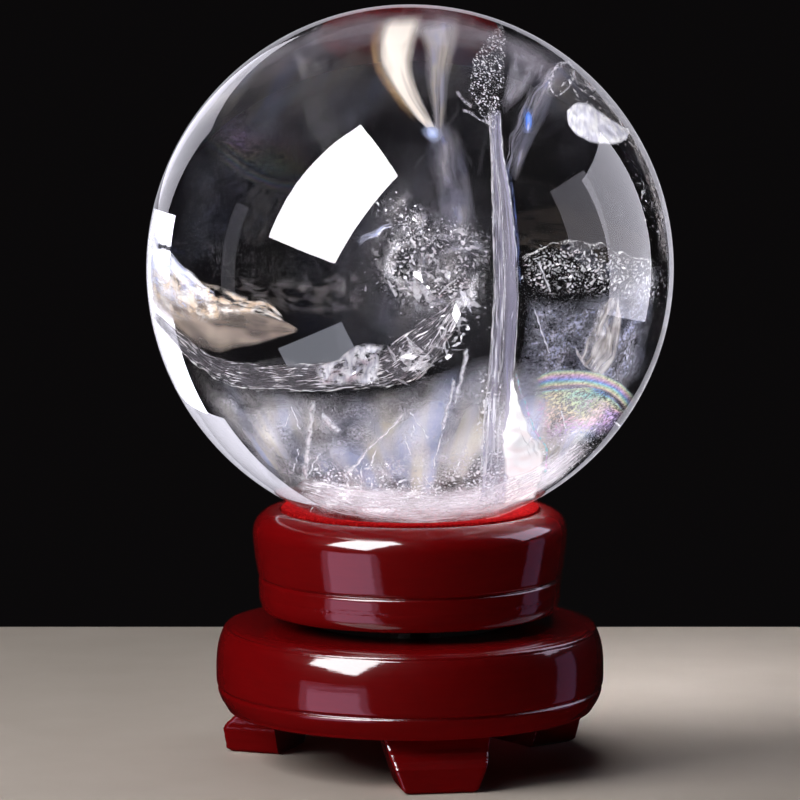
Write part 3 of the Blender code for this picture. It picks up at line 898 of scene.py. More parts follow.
def column_veils():
    """The tall curtain that runs down the ball, and the bright fan at its foot."""
    left = [(0.30, 0.60), (0.31, 0.42), (0.315, 0.20), (0.32, -0.08), (0.305, -0.35),
            (0.285, -0.54), (0.27, -0.74), (0.26, -0.90)]
    middle = [(0.32, 0.60), (0.325, 0.42), (0.35, 0.20), (0.36, -0.08), (0.35, -0.38),
              (0.345, -0.54), (0.34, -0.74), (0.33, -0.90)]
    right = [(0.34, 0.60), (0.355, 0.42), (0.385, 0.24), (0.41, -0.08), (0.395, -0.38),
             (0.39, -0.50), (0.39, -0.70), (0.38, -0.90)]
    fan_right = [(0.385, -0.40), (0.415, -0.49), (0.455, -0.61), (0.505, -0.70),
                 (0.50, -0.80), (0.47, -0.88)]
    fan_left = [(0.38, -0.42), (0.37, -0.54), (0.35, -0.66), (0.36, -0.78), (0.36, -0.84),
                (0.35, -0.90)]
    scratch_left = [(0.26, -0.38), (0.25, -0.56), (0.21, -0.74), (0.12, -0.90)]
    scratch_right = [(0.35, -0.38), (0.36, -0.56), (0.37, -0.74), (0.36, -0.90)]
    milky = veil_look("column_milk", (0.52, 0.50, 0.62), 0.62, (1.6, 3.0), (0.20, 0.62),
                      (0.02, 0.06), shine=0.10, second=(0.36, 0.35, 0.48), detail=3.0)
    combed = veil_look("column_combed", (0.85, 0.84, 0.90), 0.80, (12.0, 6.0), (0.50, 0.60),
                       (0.03, 0.12), shine=0.25)
    bright = veil_look("column_edge", (0.92, 0.91, 0.95), 0.85, (24.0, 1.0), (0.34, 0.60),
                       (0.02, 0.30), shine=0.3)
    blue = veil_look("column_blue", (0.20, 0.32, 0.85), 0.6, (9.0, 1.0), (0.42, 0.66),
                     (0.15, 0.45), shine=0.1)
    fan = veil_look("column_fan", (1.0, 1.0, 1.0), 1.0, (3.0, 9.0), (0.22, 0.40), (0.04, 0.10),
                    shine=0.2)
    scratched = veil_look("column_scratched", (0.90, 0.89, 0.93), 0.85, (8.0, 5.0), (0.34, 0.60),
                          (0.06, 0.10), shine=0.2, crackle=1900.0)
    cyan = veil_look("column_cyan", (0.25, 0.80, 0.80), 0.8, (9.0, 1.0), (0.35, 0.6),
                     (0.05, 0.40), shine=0.1, second=(0.90, 0.40, 0.75))
    body = [at(left, 0.30), at(middle, 0.33), at(right, 0.31)]
    made = sheets((
        ("column_comb", left, 0.27, middle, 0.29, combed, (20, 220), 0.2, 4.0, 3),
        ("column_scratches", scratch_left, 0.30, scratch_right, 0.28, scratched, (30, 90), 0.5,
         2.0, 84),
        ("column_foot", fan_left, 0.28, fan_right, 0.26, fan, (24, 90), 0.5, 2.0, 4),
    ))
    made += ridges((
        ("column_left_edge", left, 0.26, 0.005, bright, 5, 0.12),
        ("column_middle_edge", middle[1:5], 0.27, 0.003, bright, 6, 0.15),
        ("column_right_edge", right[:6], 0.27, 0.003, bright, 7, 0.12),
        ("column_blue_fringe", moved(right[1:4], 0.010, 0.0), 0.27, 0.006, blue, 8),
        ("column_cyan_fringe", moved(fan_right[:5], 0.012, 0.01), 0.26, 0.008, cyan, 9),
    ))
    made += [
        sheet_through("column_curtain", body, milky, (24, 200), 0.25, 6.0, 2),
    ]
    return made


def crown_veils():
    """Soft folds, streaks and chips under the top of the ball."""
    soft = veil_look("crown_soft", (0.60, 0.57, 0.61), 0.72, (2.2, 2.6), (0.26, 0.72),
                     (0.2, 0.42), shine=0.0, second=(0.40, 0.41, 0.60), detail=3.0)
    bluish = veil_look("crown_bluish", (0.55, 0.66, 1.0), 0.8, (1.0, 1.0), (0.05, 0.35),
                       (0.45, 0.48), shine=0.05, detail=1.0)
    edges = veil_look("crown_edges", (0.90, 0.88, 0.95), 0.8, (30.0, 1.0), (0.38, 0.62),
                      (0.03, 0.3), shine=0.3)
    return crown_folds(soft, bluish) + crown_leaves(edges) + crown_right(soft, bluish, edges)


def crown_folds(soft, bluish):
    """The shaded cap, the two pale folds that meet in a blue spot and the smoke under it."""
    cream = veil_look("crown_cream", (0.86, 0.79, 0.70), 0.92, (1.6, 2.2), (0.14, 0.50),
                      (0.10, 0.28), shine=0.0, detail=2.0)
    pillar = veil_look("crown_pillar", (0.58, 0.53, 0.48), 0.75, (1.4, 3.0), (0.10, 0.52),
                       (0.08, 0.34), shine=0.0, second=(0.44, 0.44, 0.54), detail=2.0)
    golden = veil_look("crown_golden", (0.55, 0.34, 0.16), 0.55, (1.5, 1.0), (0.2, 0.6),
                       (0.3, 0.5), shine=0.0, detail=2.0)
    capped = veil_look("crown_cap", (0.20, 0.18, 0.21), 0.32, (4.0, 2.0), (0.05, 0.50),
                       (0.12, 0.25), shine=0.0, second=(0.30, 0.27, 0.32), detail=3.0)
    streak = [(-0.10, 0.955), (-0.135, 0.86), (-0.115, 0.75), (-0.04, 0.64), (0.03, 0.56),
              (0.085, 0.51)]
    width = (0.16, 0.17, 0.13, 0.085, 0.05, 0.02)
    inner = [(x + wide, y + 0.01) for (x, y), wide in zip(streak, width)]
    arm_left = [(0.02, 0.955), (0.04, 0.84), (0.05, 0.74), (0.07, 0.64), (0.10, 0.50)]
    arm_right = [(0.19, 0.95), (0.185, 0.84), (0.17, 0.74), (0.15, 0.64), (0.13, 0.50)]
    smoke_left = [(0.05, 0.55), (0.07, 0.42), (0.10, 0.28), (0.08, 0.10)]
    smoke_right = [(0.14, 0.55), (0.20, 0.42), (0.26, 0.28), (0.30, 0.10)]
    spot = [(0.055, 0.545), (0.085, 0.515), (0.115, 0.485)]
    cap_top = [(-0.62, 0.75), (-0.35, 0.91), (0.0, 0.975), (0.35, 0.91), (0.62, 0.75)]
    cap_low = [(-0.60, 0.64), (-0.33, 0.80), (0.0, 0.85), (0.33, 0.80), (0.60, 0.64)]
    made = sheets((
        ("crown_cap", cap_low, 0.72, cap_top, 0.60, capped, (20, 60), 0.3, 5.0, 89),
        ("crown_streak", streak, 0.55, inner, 0.56, cream, (16, 80), 0.2, 6.0, 11),
        ("crown_arm", arm_left, 0.60, arm_right, 0.62, pillar, (20, 60), 0.6, 5.0, 12),
        ("crown_smoke", smoke_left, 0.62, smoke_right, 0.64, soft, (30, 60), 1.5, 6.0, 18),
    ))
    made += ridges((
        ("crown_golden_edge", streak[:5], 0.54, 0.020, golden, 17, 0.1),
        ("crown_spot", spot, 0.52, 0.035, bluish, 83, 0.0),
    ))
    return made


def crown_leaves(edges):
    """The grainy leaf over the column, the flat crack beside it and the shards at its foot."""
    leaf = veil_look("crown_leaf", (0.85, 0.85, 0.90), 0.95, (5.0, 5.0), (0.26, 0.50),
                     (0.04, 0.08), shine=0.2, crackle=2000.0)
    flat = veil_look("crown_flat", (0.48, 0.46, 0.54), 0.50, (3.0, 3.0), (0.20, 0.60),
                     (0.20, 0.25), shine=0.1, detail=3.0)
    leaf_left = [(0.34, 0.93), (0.26, 0.83), (0.22, 0.70), (0.26, 0.60), (0.31, 0.52)]
    leaf_right = [(0.35, 0.93), (0.365, 0.83), (0.355, 0.70), (0.34, 0.60), (0.33, 0.52)]
    flat_left = [(0.36, 0.91), (0.37, 0.80), (0.36, 0.70), (0.345, 0.60)]
    flat_right = [(0.55, 0.82), (0.48, 0.72), (0.42, 0.64), (0.36, 0.58)]
    shards_at = (((0.18, 0.67), (0.23, 0.61)), ((0.20, 0.60), (0.26, 0.575)),
                 ((0.25, 0.57), (0.31, 0.55)))
    made = sheets((
        ("crown_leaf", leaf_left, 0.16, leaf_right, 0.20, leaf, (24, 100), 0.5, 1.6, 13),
        ("crown_flat", flat_left, 0.22, flat_right, 0.24, flat, (24, 60), 0.3, 3.0, 85),
    ))
    for index, (start, end) in enumerate(shards_at):
        made.append(ridge(f"crown_shard_{index + 1}", at((start, end), 0.20), 0.007, edges,
                          86 + index, 0.5))
    return made


def crown_right(soft, bluish, edges):
    """The band, the bright chip and its rims, and the grains along the right limb."""
    chip = veil_look("crown_chip", (1.0, 1.0, 1.0), 1.0, (7.0, 4.0), (0.22, 0.36), (0.03, 0.10),
                     shine=0.2, second=(0.62, 0.62, 0.72))
    wisps = veil_look("crown_wisps", (0.62, 0.60, 0.72), 0.62, (3.0, 9.0), (0.44, 0.70),
                      (0.12, 0.25), shine=0.1, detail=3.0)
    glint = veil_look("crown_glint", (0.10, 0.30, 1.0), 1.0, (1.0, 1.0), (0.05, 0.35),
                      (0.35, 0.45), shine=0.1)
    grains = veil_look("crown_grains", (0.80, 0.76, 0.74), 0.90, (12.0, 3.0), (0.28, 0.56),
                       (0.05, 0.22), shine=0.1, second=(0.50, 0.46, 0.48), crackle=2000.0)
    band_left = [(0.53, 0.80), (0.46, 0.66), (0.40, 0.48), (0.37, 0.33)]
    band_right = [(0.62, 0.76), (0.54, 0.62), (0.47, 0.47), (0.42, 0.33)]
    chip_top = [(0.59, 0.60), (0.63, 0.63), (0.68, 0.625), (0.73, 0.59), (0.79, 0.55),
                (0.83, 0.53)]
    chip_low = [(0.60, 0.545), (0.63, 0.505), (0.69, 0.475), (0.76, 0.468), (0.81, 0.48),
                (0.835, 0.515)]
    lobe = [(0.53, 0.73), (0.57, 0.78), (0.62, 0.76), (0.61, 0.70), (0.56, 0.655),
            (0.53, 0.69), (0.53, 0.73)]
    step_edge = [(0.522, 0.664), (0.545, 0.746), (0.604, 0.782), (0.628, 0.716), (0.68, 0.687),
                 (0.734, 0.664), (0.793, 0.605), (0.828, 0.546)]
    rim_in = [(0.56, 0.76), (0.68, 0.68), (0.78, 0.56), (0.86, 0.42), (0.92, 0.25),
              (0.945, 0.05)]
    rim_out = [(0.60, 0.79), (0.73, 0.66), (0.84, 0.53), (0.92, 0.37), (0.97, 0.20),
               (0.985, 0.0)]
    glow = [(0.445, 0.61), (0.45, 0.56), (0.445, 0.51)]
    made = sheets((
        ("crown_band", band_left, 0.60, band_right, 0.62, soft, (14, 60), 0.5, 5.0, 14),
        ("crown_wisps", moved(band_left, -0.03, 0.0), 0.40, moved(band_right, -0.05, 0.02), 0.44,
         wisps, (30, 80), 0.6, 3.0, 15),
        ("crown_chip", chip_top, 0.06, chip_low, 0.05, chip, (20, 60), 0.25, 2.0, 16),
        ("crown_rim_grains", rim_in, 0.08, rim_out, 0.30, grains, (20, 160), 0.3, 1.5, 20),
    ))
    made += ridges((
        ("crown_lobe_rim", lobe, 0.10, 0.004, edges, 19, 0.1),
        ("crown_step_edge", step_edge, 0.09, 0.006, edges, 97, 0.4),
        ("crown_glint", glow, 0.30, 0.020, glint, 82, 0.0),
        ("crown_glint_core", glow[1:], 0.29, 0.008, bluish, 90, 0.0),
    ))
    return made


def bowl_veils():
    """The big bowl-shaped crack on the left and the veils round it."""
    return bowl_crack() + bowl_tongue() + bowl_facets()


def bowl_crack():
    """The bowl-shaped crack, its fine striae and its bright rim."""
    striae = veil_look("bowl_striae", (0.95, 0.93, 0.95), 0.90, (22.0, 30.0), (0.54, 0.61),
                       (0.03, 0.05), shine=0.2)
    lens_shade = veil_look("bowl_shade", (0.07, 0.065, 0.075), 0.80, (3.0, 3.0), (0.15, 0.50),
                           (0.03, 0.12), shine=0.02)
    rim = veil_look("bowl_rim", (1.0, 0.98, 0.98), 0.90, (34.0, 1.0), (0.44, 0.62), (0.03, 0.35),
                    shine=0.35)
    lower = [(-0.985, -0.18), (-0.86, -0.32), (-0.76, -0.40), (-0.67, -0.445),
             (-0.49, -0.465), (-0.28, -0.46), (-0.08, -0.445), (0.04, -0.40), (0.13, -0.29),
             (0.21, -0.12)]
    upper = [(-0.98, -0.15), (-0.86, -0.25), (-0.75, -0.33), (-0.62, -0.355),
             (-0.50, -0.365), (-0.34, -0.355), (-0.14, -0.33), (-0.04, -0.26), (0.08, -0.18),
             (0.19, -0.10)]
    shares = [0.06, 0.10, 0.14, 0.18, 0.22, 0.26, 0.30, 0.32, 0.34, 0.36]
    deep = [share + 0.08 for share in shares]
    made = sheets((
        ("bowl_lens", lower, shares, upper, deep, lens_shade, (20, 100), 0.2, 2.6, 27),
        ("bowl_crack", lower, shares, upper, deep, striae, (40, 200), 0.35, 2.6, 21),
    ))
    made += ridges((
        ("bowl_rim", lower, shares, 0.004, rim, 23, 0.3),
    ))
    return made


def bowl_tongue():
    """The tongue and the marbled veils above the crack, out to the left limb."""
    shade = veil_look("bowl_limb_shade", (0.01, 0.01, 0.015), 0.95, (3.0, 1.0), (0.05, 0.30),
                      (0.10, 0.30), shine=0.0)
    beige = veil_look("bowl_beige", (0.40, 0.33, 0.27), 0.92, (2.2, 2.4), (0.18, 0.52),
                      (0.04, 0.12), shine=0.03, second=(0.24, 0.20, 0.18), detail=2.0)
    marble = veil_look("bowl_marble", (0.92, 0.88, 0.84), 0.95, (7.0, 3.2), (0.42, 0.58),
                       (0.03, 0.20), shine=0.1, second=(0.75, 0.58, 0.42), detail=4.0)
    limb = veil_look("bowl_limb", (0.95, 0.95, 1.0), 0.95, (2.5, 3.5), (0.38, 0.55), (0.03, 0.15),
                     shine=0.1, second=(0.60, 0.66, 0.95), detail=3.0)
    dashes = veil_look("bowl_dashes", (0.42, 0.40, 0.44), 0.22, (9.0, 4.0), (0.42, 0.70),
                       (0.10, 0.25), shine=0.0, second=(0.50, 0.45, 0.40), detail=1.5)
    tongue_top = [(-0.985, 0.03), (-0.88, -0.05), (-0.76, -0.10), (-0.62, -0.14),
                  (-0.50, -0.19), (-0.42, -0.235)]
    tongue_low = [(-0.98, -0.14), (-0.86, -0.26), (-0.74, -0.315), (-0.62, -0.30),
                  (-0.50, -0.27), (-0.42, -0.245)]
    marble_top = [(-0.985, 0.02), (-0.88, -0.02), (-0.76, -0.06), (-0.62, -0.10),
                  (-0.48, -0.16)]
    marble_low = [(-0.98, -0.16), (-0.86, -0.20), (-0.74, -0.20), (-0.62, -0.18),
                  (-0.48, -0.20)]
    limb_top = [(-0.985, 0.16), (-0.93, 0.10), (-0.84, 0.0), (-0.74, -0.08)]
    limb_low = [(-0.985, -0.10), (-0.93, -0.14), (-0.84, -0.15), (-0.74, -0.13)]
    dash_top = [(-0.70, -0.02), (-0.56, -0.02), (-0.42, -0.02), (-0.26, 0.0), (-0.18, -0.01)]
    dash_low = [(-0.70, -0.14), (-0.56, -0.16), (-0.42, -0.18), (-0.26, -0.18),
                (-0.18, -0.15)]
    shade_line = [(-0.965, 0.085), (-0.925, 0.082), (-0.885, 0.065), (-0.845, 0.060)]
    made = sheets((
        ("bowl_tongue", tongue_low, 0.34, tongue_top, 0.30, beige, (30, 90), 0.5, 5.0, 22),
        ("bowl_marble", marble_low, 0.26, marble_top, 0.24, marble, (30, 120), 0.8, 4.0, 28),
        ("bowl_limb", limb_low, 0.30, limb_top, 0.28, limb, (30, 60), 0.6, 4.0, 29),
        ("bowl_dashes", dash_low, 0.50, dash_top, 0.46, dashes, (30, 120), 0.8, 3.0, 24),
    ))
    made += ridges((
        ("bowl_limb_shade", shade_line, 0.03, 0.013, shade, 39, 0.3),
    ))
    return made


def bowl_facets():
    """The strands and facets on the crack's right, and the pale wing over them."""
    strands = veil_look("bowl_strands", (0.85, 0.83, 0.86), 0.90, (4.0, 9.0), (0.53, 0.60),
                        (0.10, 0.08), shine=0.25)
    facets = veil_look("bowl_facets", (0.95, 0.94, 0.98), 1.0, (7.0, 5.0), (0.36, 0.50),
                       (0.08, 0.10), shine=0.3, second=(0.50, 0.50, 0.58), detail=3.0)
    wing = veil_look("bowl_wing", (0.60, 0.66, 0.90), 0.8, (3.0, 6.0), (0.40, 0.62), (0.20, 0.20),
                     shine=0.3)
    strand_left = [(-0.08, -0.44), (0.0, -0.37), (0.07, -0.27), (0.14, -0.17), (0.20, -0.10)]
    strand_right = [(0.04, -0.43), (0.09, -0.36), (0.15, -0.27), (0.19, -0.19), (0.22, -0.12)]
    facet_top = [(-0.36, -0.37), (-0.27, -0.33), (-0.18, -0.28), (-0.10, -0.285)]
    facet_low = [(-0.36, -0.44), (-0.28, -0.45), (-0.19, -0.44), (-0.12, -0.43)]
    key_wing = [(-0.20, 0.10), (-0.12, 0.14), (-0.05, 0.17)]
    made = sheets((
        ("bowl_strands", strand_left, 0.33, strand_right, 0.36, strands, (40, 90), 0.4, 2.0, 25),
        ("bowl_facets", facet_low, 0.22, facet_top, 0.20, facets, (24, 60), 0.7, 2.2, 26),
    ))
    made += ridges((
        ("bowl_wing", key_wing, 0.40, 0.014, wing, 30, 0.4),
    ))
    return made


def right_veils():
    """The level crack on the right, the feathered sheet and the rainbow crack below it."""
    line = [(0.42, 0.04), (0.49, 0.07), (0.57, 0.10), (0.64, 0.10), (0.72, 0.09),
            (0.82, 0.05), (0.93, 0.03)]
    low = [(0.45, -0.06), (0.51, -0.10), (0.58, -0.10), (0.66, -0.10), (0.74, -0.12),
           (0.84, -0.14), (0.94, -0.12)]
    feather_left = [(0.62, -0.28), (0.64, -0.33), (0.68, -0.24), (0.72, -0.15), (0.77, -0.10)]
    feather_right = [(0.66, -0.36), (0.72, -0.41), (0.79, -0.32), (0.80, -0.22), (0.80, -0.12)]
    arc_outer = [(0.46, -0.42), (0.55, -0.385), (0.68, -0.385), (0.78, -0.42), (0.86, -0.49)]
    arc_inner = [(0.47, -0.47), (0.56, -0.45), (0.67, -0.45), (0.76, -0.48), (0.83, -0.55)]
    arc_middle = [(0.46, -0.50), (0.57, -0.48), (0.68, -0.49), (0.76, -0.52), (0.81, -0.56)]
    arc_low = [(0.50, -0.68), (0.57, -0.68), (0.65, -0.67), (0.71, -0.65), (0.75, -0.63)]
    patch_top = [(0.64, -0.50), (0.70, -0.48), (0.76, -0.50)]
    patch_low = [(0.66, -0.56), (0.71, -0.56), (0.75, -0.55)]
    speckled = veil_look("right_specks", (0.95, 0.95, 0.98), 0.95, (9.0, 4.0), (0.34, 0.52),
                         (0.04, 0.16), shine=0.3, crackle=1500.0)
    feathered = veil_look("feather", (0.82, 0.78, 0.76), 0.95, (3.0, 6.0), (0.34, 0.60),
                          (0.05, 0.10), shine=0.2, second=(0.40, 0.36, 0.33))
    rim = veil_look("right_rim", (1.0, 1.0, 1.0), 0.90, (40.0, 1.0), (0.42, 0.60), (0.04, 0.3),
                    shine=0.4)
    arc_look = rainbow_look("rainbow_arc", 1.0, 1.6, 0.25, 0.0, (0.15, 0.15))
    rainbow = rainbow_look("rainbow", 0.92, 1.2, 1.6, 0.70, (0.15, 0.25))
    pink = veil_look("rainbow_patch", (1.0, 0.86, 0.95), 0.95, (3.0, 3.0), (0.30, 0.5),
                     (0.2, 0.2), shine=0.2, grain=0.8)
    made = sheets((
        ("right_crack", line, 0.22, low, 0.30, speckled, (50, 160), 0.7, 1.4, 31),
        ("feather_crack", feather_left, 0.25, feather_right, 0.30, feathered, (36, 80), 0.5, 2.4,
         33),
        ("rainbow_arc", arc_outer, 0.22, arc_inner, 0.24, arc_look, (16, 100), 0.2, 5.0, 36),
        ("rainbow_patch", patch_top, 0.22, patch_low, 0.22, pink, (20, 30), 0.2, 3.0, 37),
    ))
    made += ridges((
        ("right_crack_rim", line, 0.22, 0.004, rim, 32, 0.6),
    ))
    made += [
        sheet_through("rainbow_crack",
                      [at(arc_inner, 0.25), at(arc_middle, 0.30), at(arc_low, 0.35)], rainbow,
                      (60, 100), 0.5, 5.0, 34),
    ]
    return made


def floor_veils():
    """Combed white fibres that lie along the bottom of the ball, over the felt."""
    combed = veil_look("floor_combed", (0.84, 0.79, 0.84), 0.66, (12.0, 22.0), (0.44, 0.60),
                       (0.06, 0.14), second=(0.72, 0.66, 0.72))
    milky = veil_look("floor_milk", (0.62, 0.58, 0.62), 0.70, (6.0, 2.0), (0.12, 0.50),
                      (0.12, 0.25), shine=0.05)
    netted = veil_look("floor_net", (0.85, 0.82, 0.86), 0.85, (5.0, 3.0), (0.34, 0.56),
                       (0.08, 0.22), crackle=1900.0)
    top = [(-0.44, -0.78), (-0.25, -0.81), (0.0, -0.83), (0.25, -0.82), (0.45, -0.76),
           (0.68, -0.62)]
    bottom = [(-0.42, -0.89), (-0.22, -0.95), (0.0, -0.975), (0.22, -0.96), (0.44, -0.885),
              (0.70, -0.70)]
    high = [(-0.42, -0.66), (-0.25, -0.72), (0.0, -0.72), (0.25, -0.72), (0.45, -0.68),
            (0.70, -0.52)]
    made = sheets((
        ("floor_combed", top, 0.22, bottom, 0.12, combed, (50, 160), 0.5, 2.4, 91),
        ("floor_milk", top, 0.62, bottom, 0.50, milky, (40, 90), 0.6, 4.0, 92),
        ("floor_net", high, 0.34, bottom, 0.20, netted, (50, 120), 0.8, 2.0, 93),
    ))
    return made


def core_nets():
    """Crackled and cottony sheets through the cloud in the middle."""
    netted = veil_look("core_net", (0.85, 0.83, 0.86), 0.90, (5.0, 5.0), (0.42, 0.62),
                       (0.20, 0.20), shine=0.2, second=(0.50, 0.48, 0.50), crackle=1700.0)
    cottony = veil_look("core_cotton", (0.46, 0.43, 0.43), 0.62, (7.0, 7.0), (0.46, 0.64),
                        (0.25, 0.25), shine=0.05, second=(0.32, 0.32, 0.40), detail=8.0)
    core_top = [(-0.14, 0.30), (-0.02, 0.26), (0.10, 0.20), (0.24, 0.16), (0.30, 0.12)]
    core_low = [(-0.14, -0.10), (-0.06, -0.18), (0.06, -0.20), (0.20, -0.16), (0.30, -0.14)]
    return sheets((
        ("core_net", core_top, 0.40, core_low, 0.44, netted, (60, 70), 1.8, 5.0, 46),
        ("core_cotton", core_top, 0.54, core_low, 0.50, cottony, (60, 70), 2.4, 6.0, 47),
    ))


def clouds():
    """Grainy clouds of tiny cracks in the middle, on the right and over the felt."""
    bright = flake_look("cloud_bright", (0.95, 0.94, 0.97), 0.90, 0.35)
    chips = flake_look("cloud_chips", (0.92, 0.91, 0.95), 0.62, 0.40)
    dust = flake_look("cloud_dust", (0.70, 0.68, 0.72), 0.50, 0.20)
    core = [(-0.06, 0.22), (0.02, 0.18), (0.10, 0.12), (0.20, 0.10)]
    lower_core = [(-0.04, 0.02), (0.06, -0.04), (0.16, -0.06), (0.20, -0.14)]
    floor = [(-0.40, -0.80), (-0.19, -0.86), (0.08, -0.88), (0.34, -0.86), (0.55, -0.74),
             (0.72, -0.60)]
    right = [(0.48, 0.0), (0.62, 0.01), (0.78, -0.03), (0.92, -0.06)]
    right_low = [(0.48, -0.16), (0.62, -0.20), (0.74, -0.16), (0.86, -0.22)]
    low_middle = [(-0.45, -0.56), (-0.15, -0.66), (0.10, -0.62), (0.28, -0.66)]
    rainbow = [(0.52, -0.58), (0.60, -0.66), (0.70, -0.64), (0.78, -0.56)]
    bowl_right = [(-0.12, -0.38), (0.02, -0.35), (0.12, -0.26), (0.19, -0.15)]
    right_rim = [(0.56, 0.74), (0.70, 0.64), (0.82, 0.50), (0.90, 0.32), (0.94, 0.12)]
    rows = (
        ("cloud_core", core, 0.42, 1100, (0.05, 0.03, 0.05), (0.03, 0.16), bright, 41, 0.0, 2.5),
        ("cloud_core_low", lower_core, 0.42, 900, (0.07, 0.05, 0.06), (0.03, 0.16), bright, 48,
         0.0, 2.5),
        ("cloud_core_dust", lower_core, 0.50, 5000, (0.11, 0.12, 0.10), (0.02, 0.08), dust, 42,
         0.0, 1.5),
        ("cloud_over_felt", floor, 0.36, 5000, (0.10, 0.05, 0.12), (0.02, 0.10), bright, 43, 0.0,
         1.8),
        ("cloud_right", right, 0.26, 1800, (0.06, 0.035, 0.05), (0.03, 0.15), bright, 44, -0.1,
         2.8),
        ("cloud_right_low", right_low, 0.30, 6000, (0.08, 0.07, 0.06), (0.02, 0.10), dust, 49,
         -0.1, 1.5),
        ("cloud_low_specks", low_middle, 0.40, 5000, (0.14, 0.10, 0.12), (0.015, 0.07), bright,
         50, 0.05, 1.5),
        ("cloud_rainbow", rainbow, 0.31, 2600, (0.05, 0.04, 0.05), (0.03, 0.13), bright, 45, -0.2,
         1.5),
        ("cloud_bowl_chips", bowl_right, 0.29, 150, (0.045, 0.035, 0.03), (0.15, 1.0), chips, 94,
         -0.3, 2.2),
        ("cloud_core_chips", lower_core, 0.40, 110, (0.09, 0.06, 0.04), (0.12, 0.8), chips, 96,
         -0.3, 2.2),
        ("cloud_rim_chips", right_rim, 0.08, 260, (0.022, 0.022, 0.03), (0.10, 0.7), chips, 95,
         -0.3, 2.0),
    )
    return [cloud(name, at(line, share), *row) for name, line, share, *row in rows]


def needles():
    """Fine straight cracks like needles in the lower half."""
    look = veil_look("needle", (0.95, 0.95, 1.0), 1.0, (16.0, 1.0), (0.32, 0.50), (0.05, 0.4),
                     shine=0.3)
    lines = (((-0.37, -0.50), (-0.40, -0.80), 0.015), ((-0.34, -0.55), (-0.27, -0.62), 0.014),
             ((-0.02, -0.55), (-0.19, -0.72), 0.007), ((-0.17, -0.70), (-0.25, -0.80), 0.009),
             ((0.17, -0.42), (0.12, -0.62), 0.008), ((0.12, -0.62), (0.08, -0.78), 0.003),
             ((0.49, 0.03), (0.53, -0.09), 0.005), ((0.47, -0.15), (0.53, -0.33), 0.004),
             ((-0.18, -0.32), (-0.14, -0.39), 0.006), ((0.22, -0.30), (0.17, -0.52), 0.010))
    draw = np.random.default_rng(88)
    for _ in range(SCATTERED_NEEDLES):
        start = (-0.62 + 1.35 * draw.random(), -0.50 - 0.28 * draw.random())
        end = (start[0] + draw.normal() * 0.05, start[1] - 0.04 - 0.09 * draw.random())
        lines += ((start, end, 0.002 + 0.002 * draw.random()),)
    made = []
    for index, (start, end, width) in enumerate(lines):
        line = [(*start, 0.20), (*end, 0.24)]
        made.append(ridge(f"needle_{index + 1}", line, width, look, 51 + index, 0.35))
    return made


# Stand

def felt_outline():
    seat = dish(BALL_RADIUS + GAP, FELT_TOP, 30)
    rim = arc(FELT_RADIUS - FELT_EDGE, FELT_TOP - FELT_EDGE, FELT_EDGE, FELT_EDGE, 60.0, 0.0, 4)
    under = dish(DISH_RADIUS - GAP, FELT_BOTTOM, 30)
    return seat + rim + [(FELT_RADIUS, FELT_BOTTOM)] + under[::-1]


def felt_fibres(look):
    """Short curled fibres that stand out of the felt's rim."""
    draw = np.random.default_rng(61)
    angle = draw.random(FIBRE_COUNT) * math.tau
    radius = FELT_RADIUS - FIBRE_ROOT - FIBRE_RIM * draw.random(FIBRE_COUNT)
    lift = BALL_CENTRE.z - np.sqrt((BALL_RADIUS + GAP) ** 2 - radius ** 2)
    start = np.stack([radius * np.cos(angle), radius * np.sin(angle),
                      np.minimum(lift, FELT_TOP) - FIBRE_ROOT], axis=-1)
    outward = unit(start * np.array((1.0, 1.0, 0.0)))
    step = unit(outward * 0.7 + draw.normal(size=start.shape) * 0.55 + (0.0, 0.0, 0.35))
    width = unit(np.cross(step, draw.normal(size=start.shape))) * FIBRE_HALF_WIDTH
    points = []
    place = start
    for joint in range(FIBRE_JOINTS):
        taper = 1.0 - 0.22 * joint
        points += [place - width * taper, place + width * taper]
        step = unit(step + draw.normal(size=start.shape) * 0.45 - (0.0, 0.0, 0.12))
        place = place + step * FIBRE_STEP
        place[:, 2] = np.minimum(place[:, 2], FELT_TOP + FIBRE_RISE)
    points = np.stack(points, axis=1).reshape(-1, 3)
    faces = []
    for index in range(FIBRE_COUNT):
        for joint in range(FIBRE_JOINTS - 1):
            low = 2 * (index * FIBRE_JOINTS + joint)
            faces.append((low, low + 1, low + 3, low + 2))
    return add_mesh("felt_fibres", points, faces, look)


def stand():
    felt = felt_look("felt_nap")
    red, deep = (0.21, 0.0015, 0.0025), (0.12, 0.0008, 0.0015)
    upper = lacquer_look("lacquer_upper", red, deep, 0.0, (DRUM_GROOVE, DRUM_LINE))
    lower = lacquer_look("lacquer_lower", red, deep, 2.7,
                         (BASE_GROOVE, BASE_SHOULDER + 0.4 * MM))
    feet = lacquer_look("lacquer_feet", red, deep, 5.1,
                        [level * MM for level in FOOT_RIDGES[:2]])

    drum = turned("drum_turning", drum_outline(), upper, False,
                  ((DRUM_GROOVE, 0.35 * MM), (DRUM_LINE, 0.25 * MM)))
    base = turned("base_turning", base_outline(), lower, True,
                  ((BASE_GROOVE, 0.40 * MM), (BASE_SHOULDER + 0.5 * MM, 0.3 * MM)))
    for piece, node_name, body, slot in (
            (drum, "turntable_drum", "turntable", "drum_lacquer"),
            (base, "base_disc", "base", "base_lacquer")):
        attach(piece, body)
        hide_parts(node_name)

    lining = turned("felt_liner", felt_outline(), felt, False)
    fibres = felt_fibres(felt)
    for piece in (lining, fibres):
        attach(piece, "turntable")
    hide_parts("felt_lining")

    for name, angle in FOOT_ANGLES.items():
        foot = stub_foot(f"stub_{name}", angle, feet)
        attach(foot, "base")
        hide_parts(name)


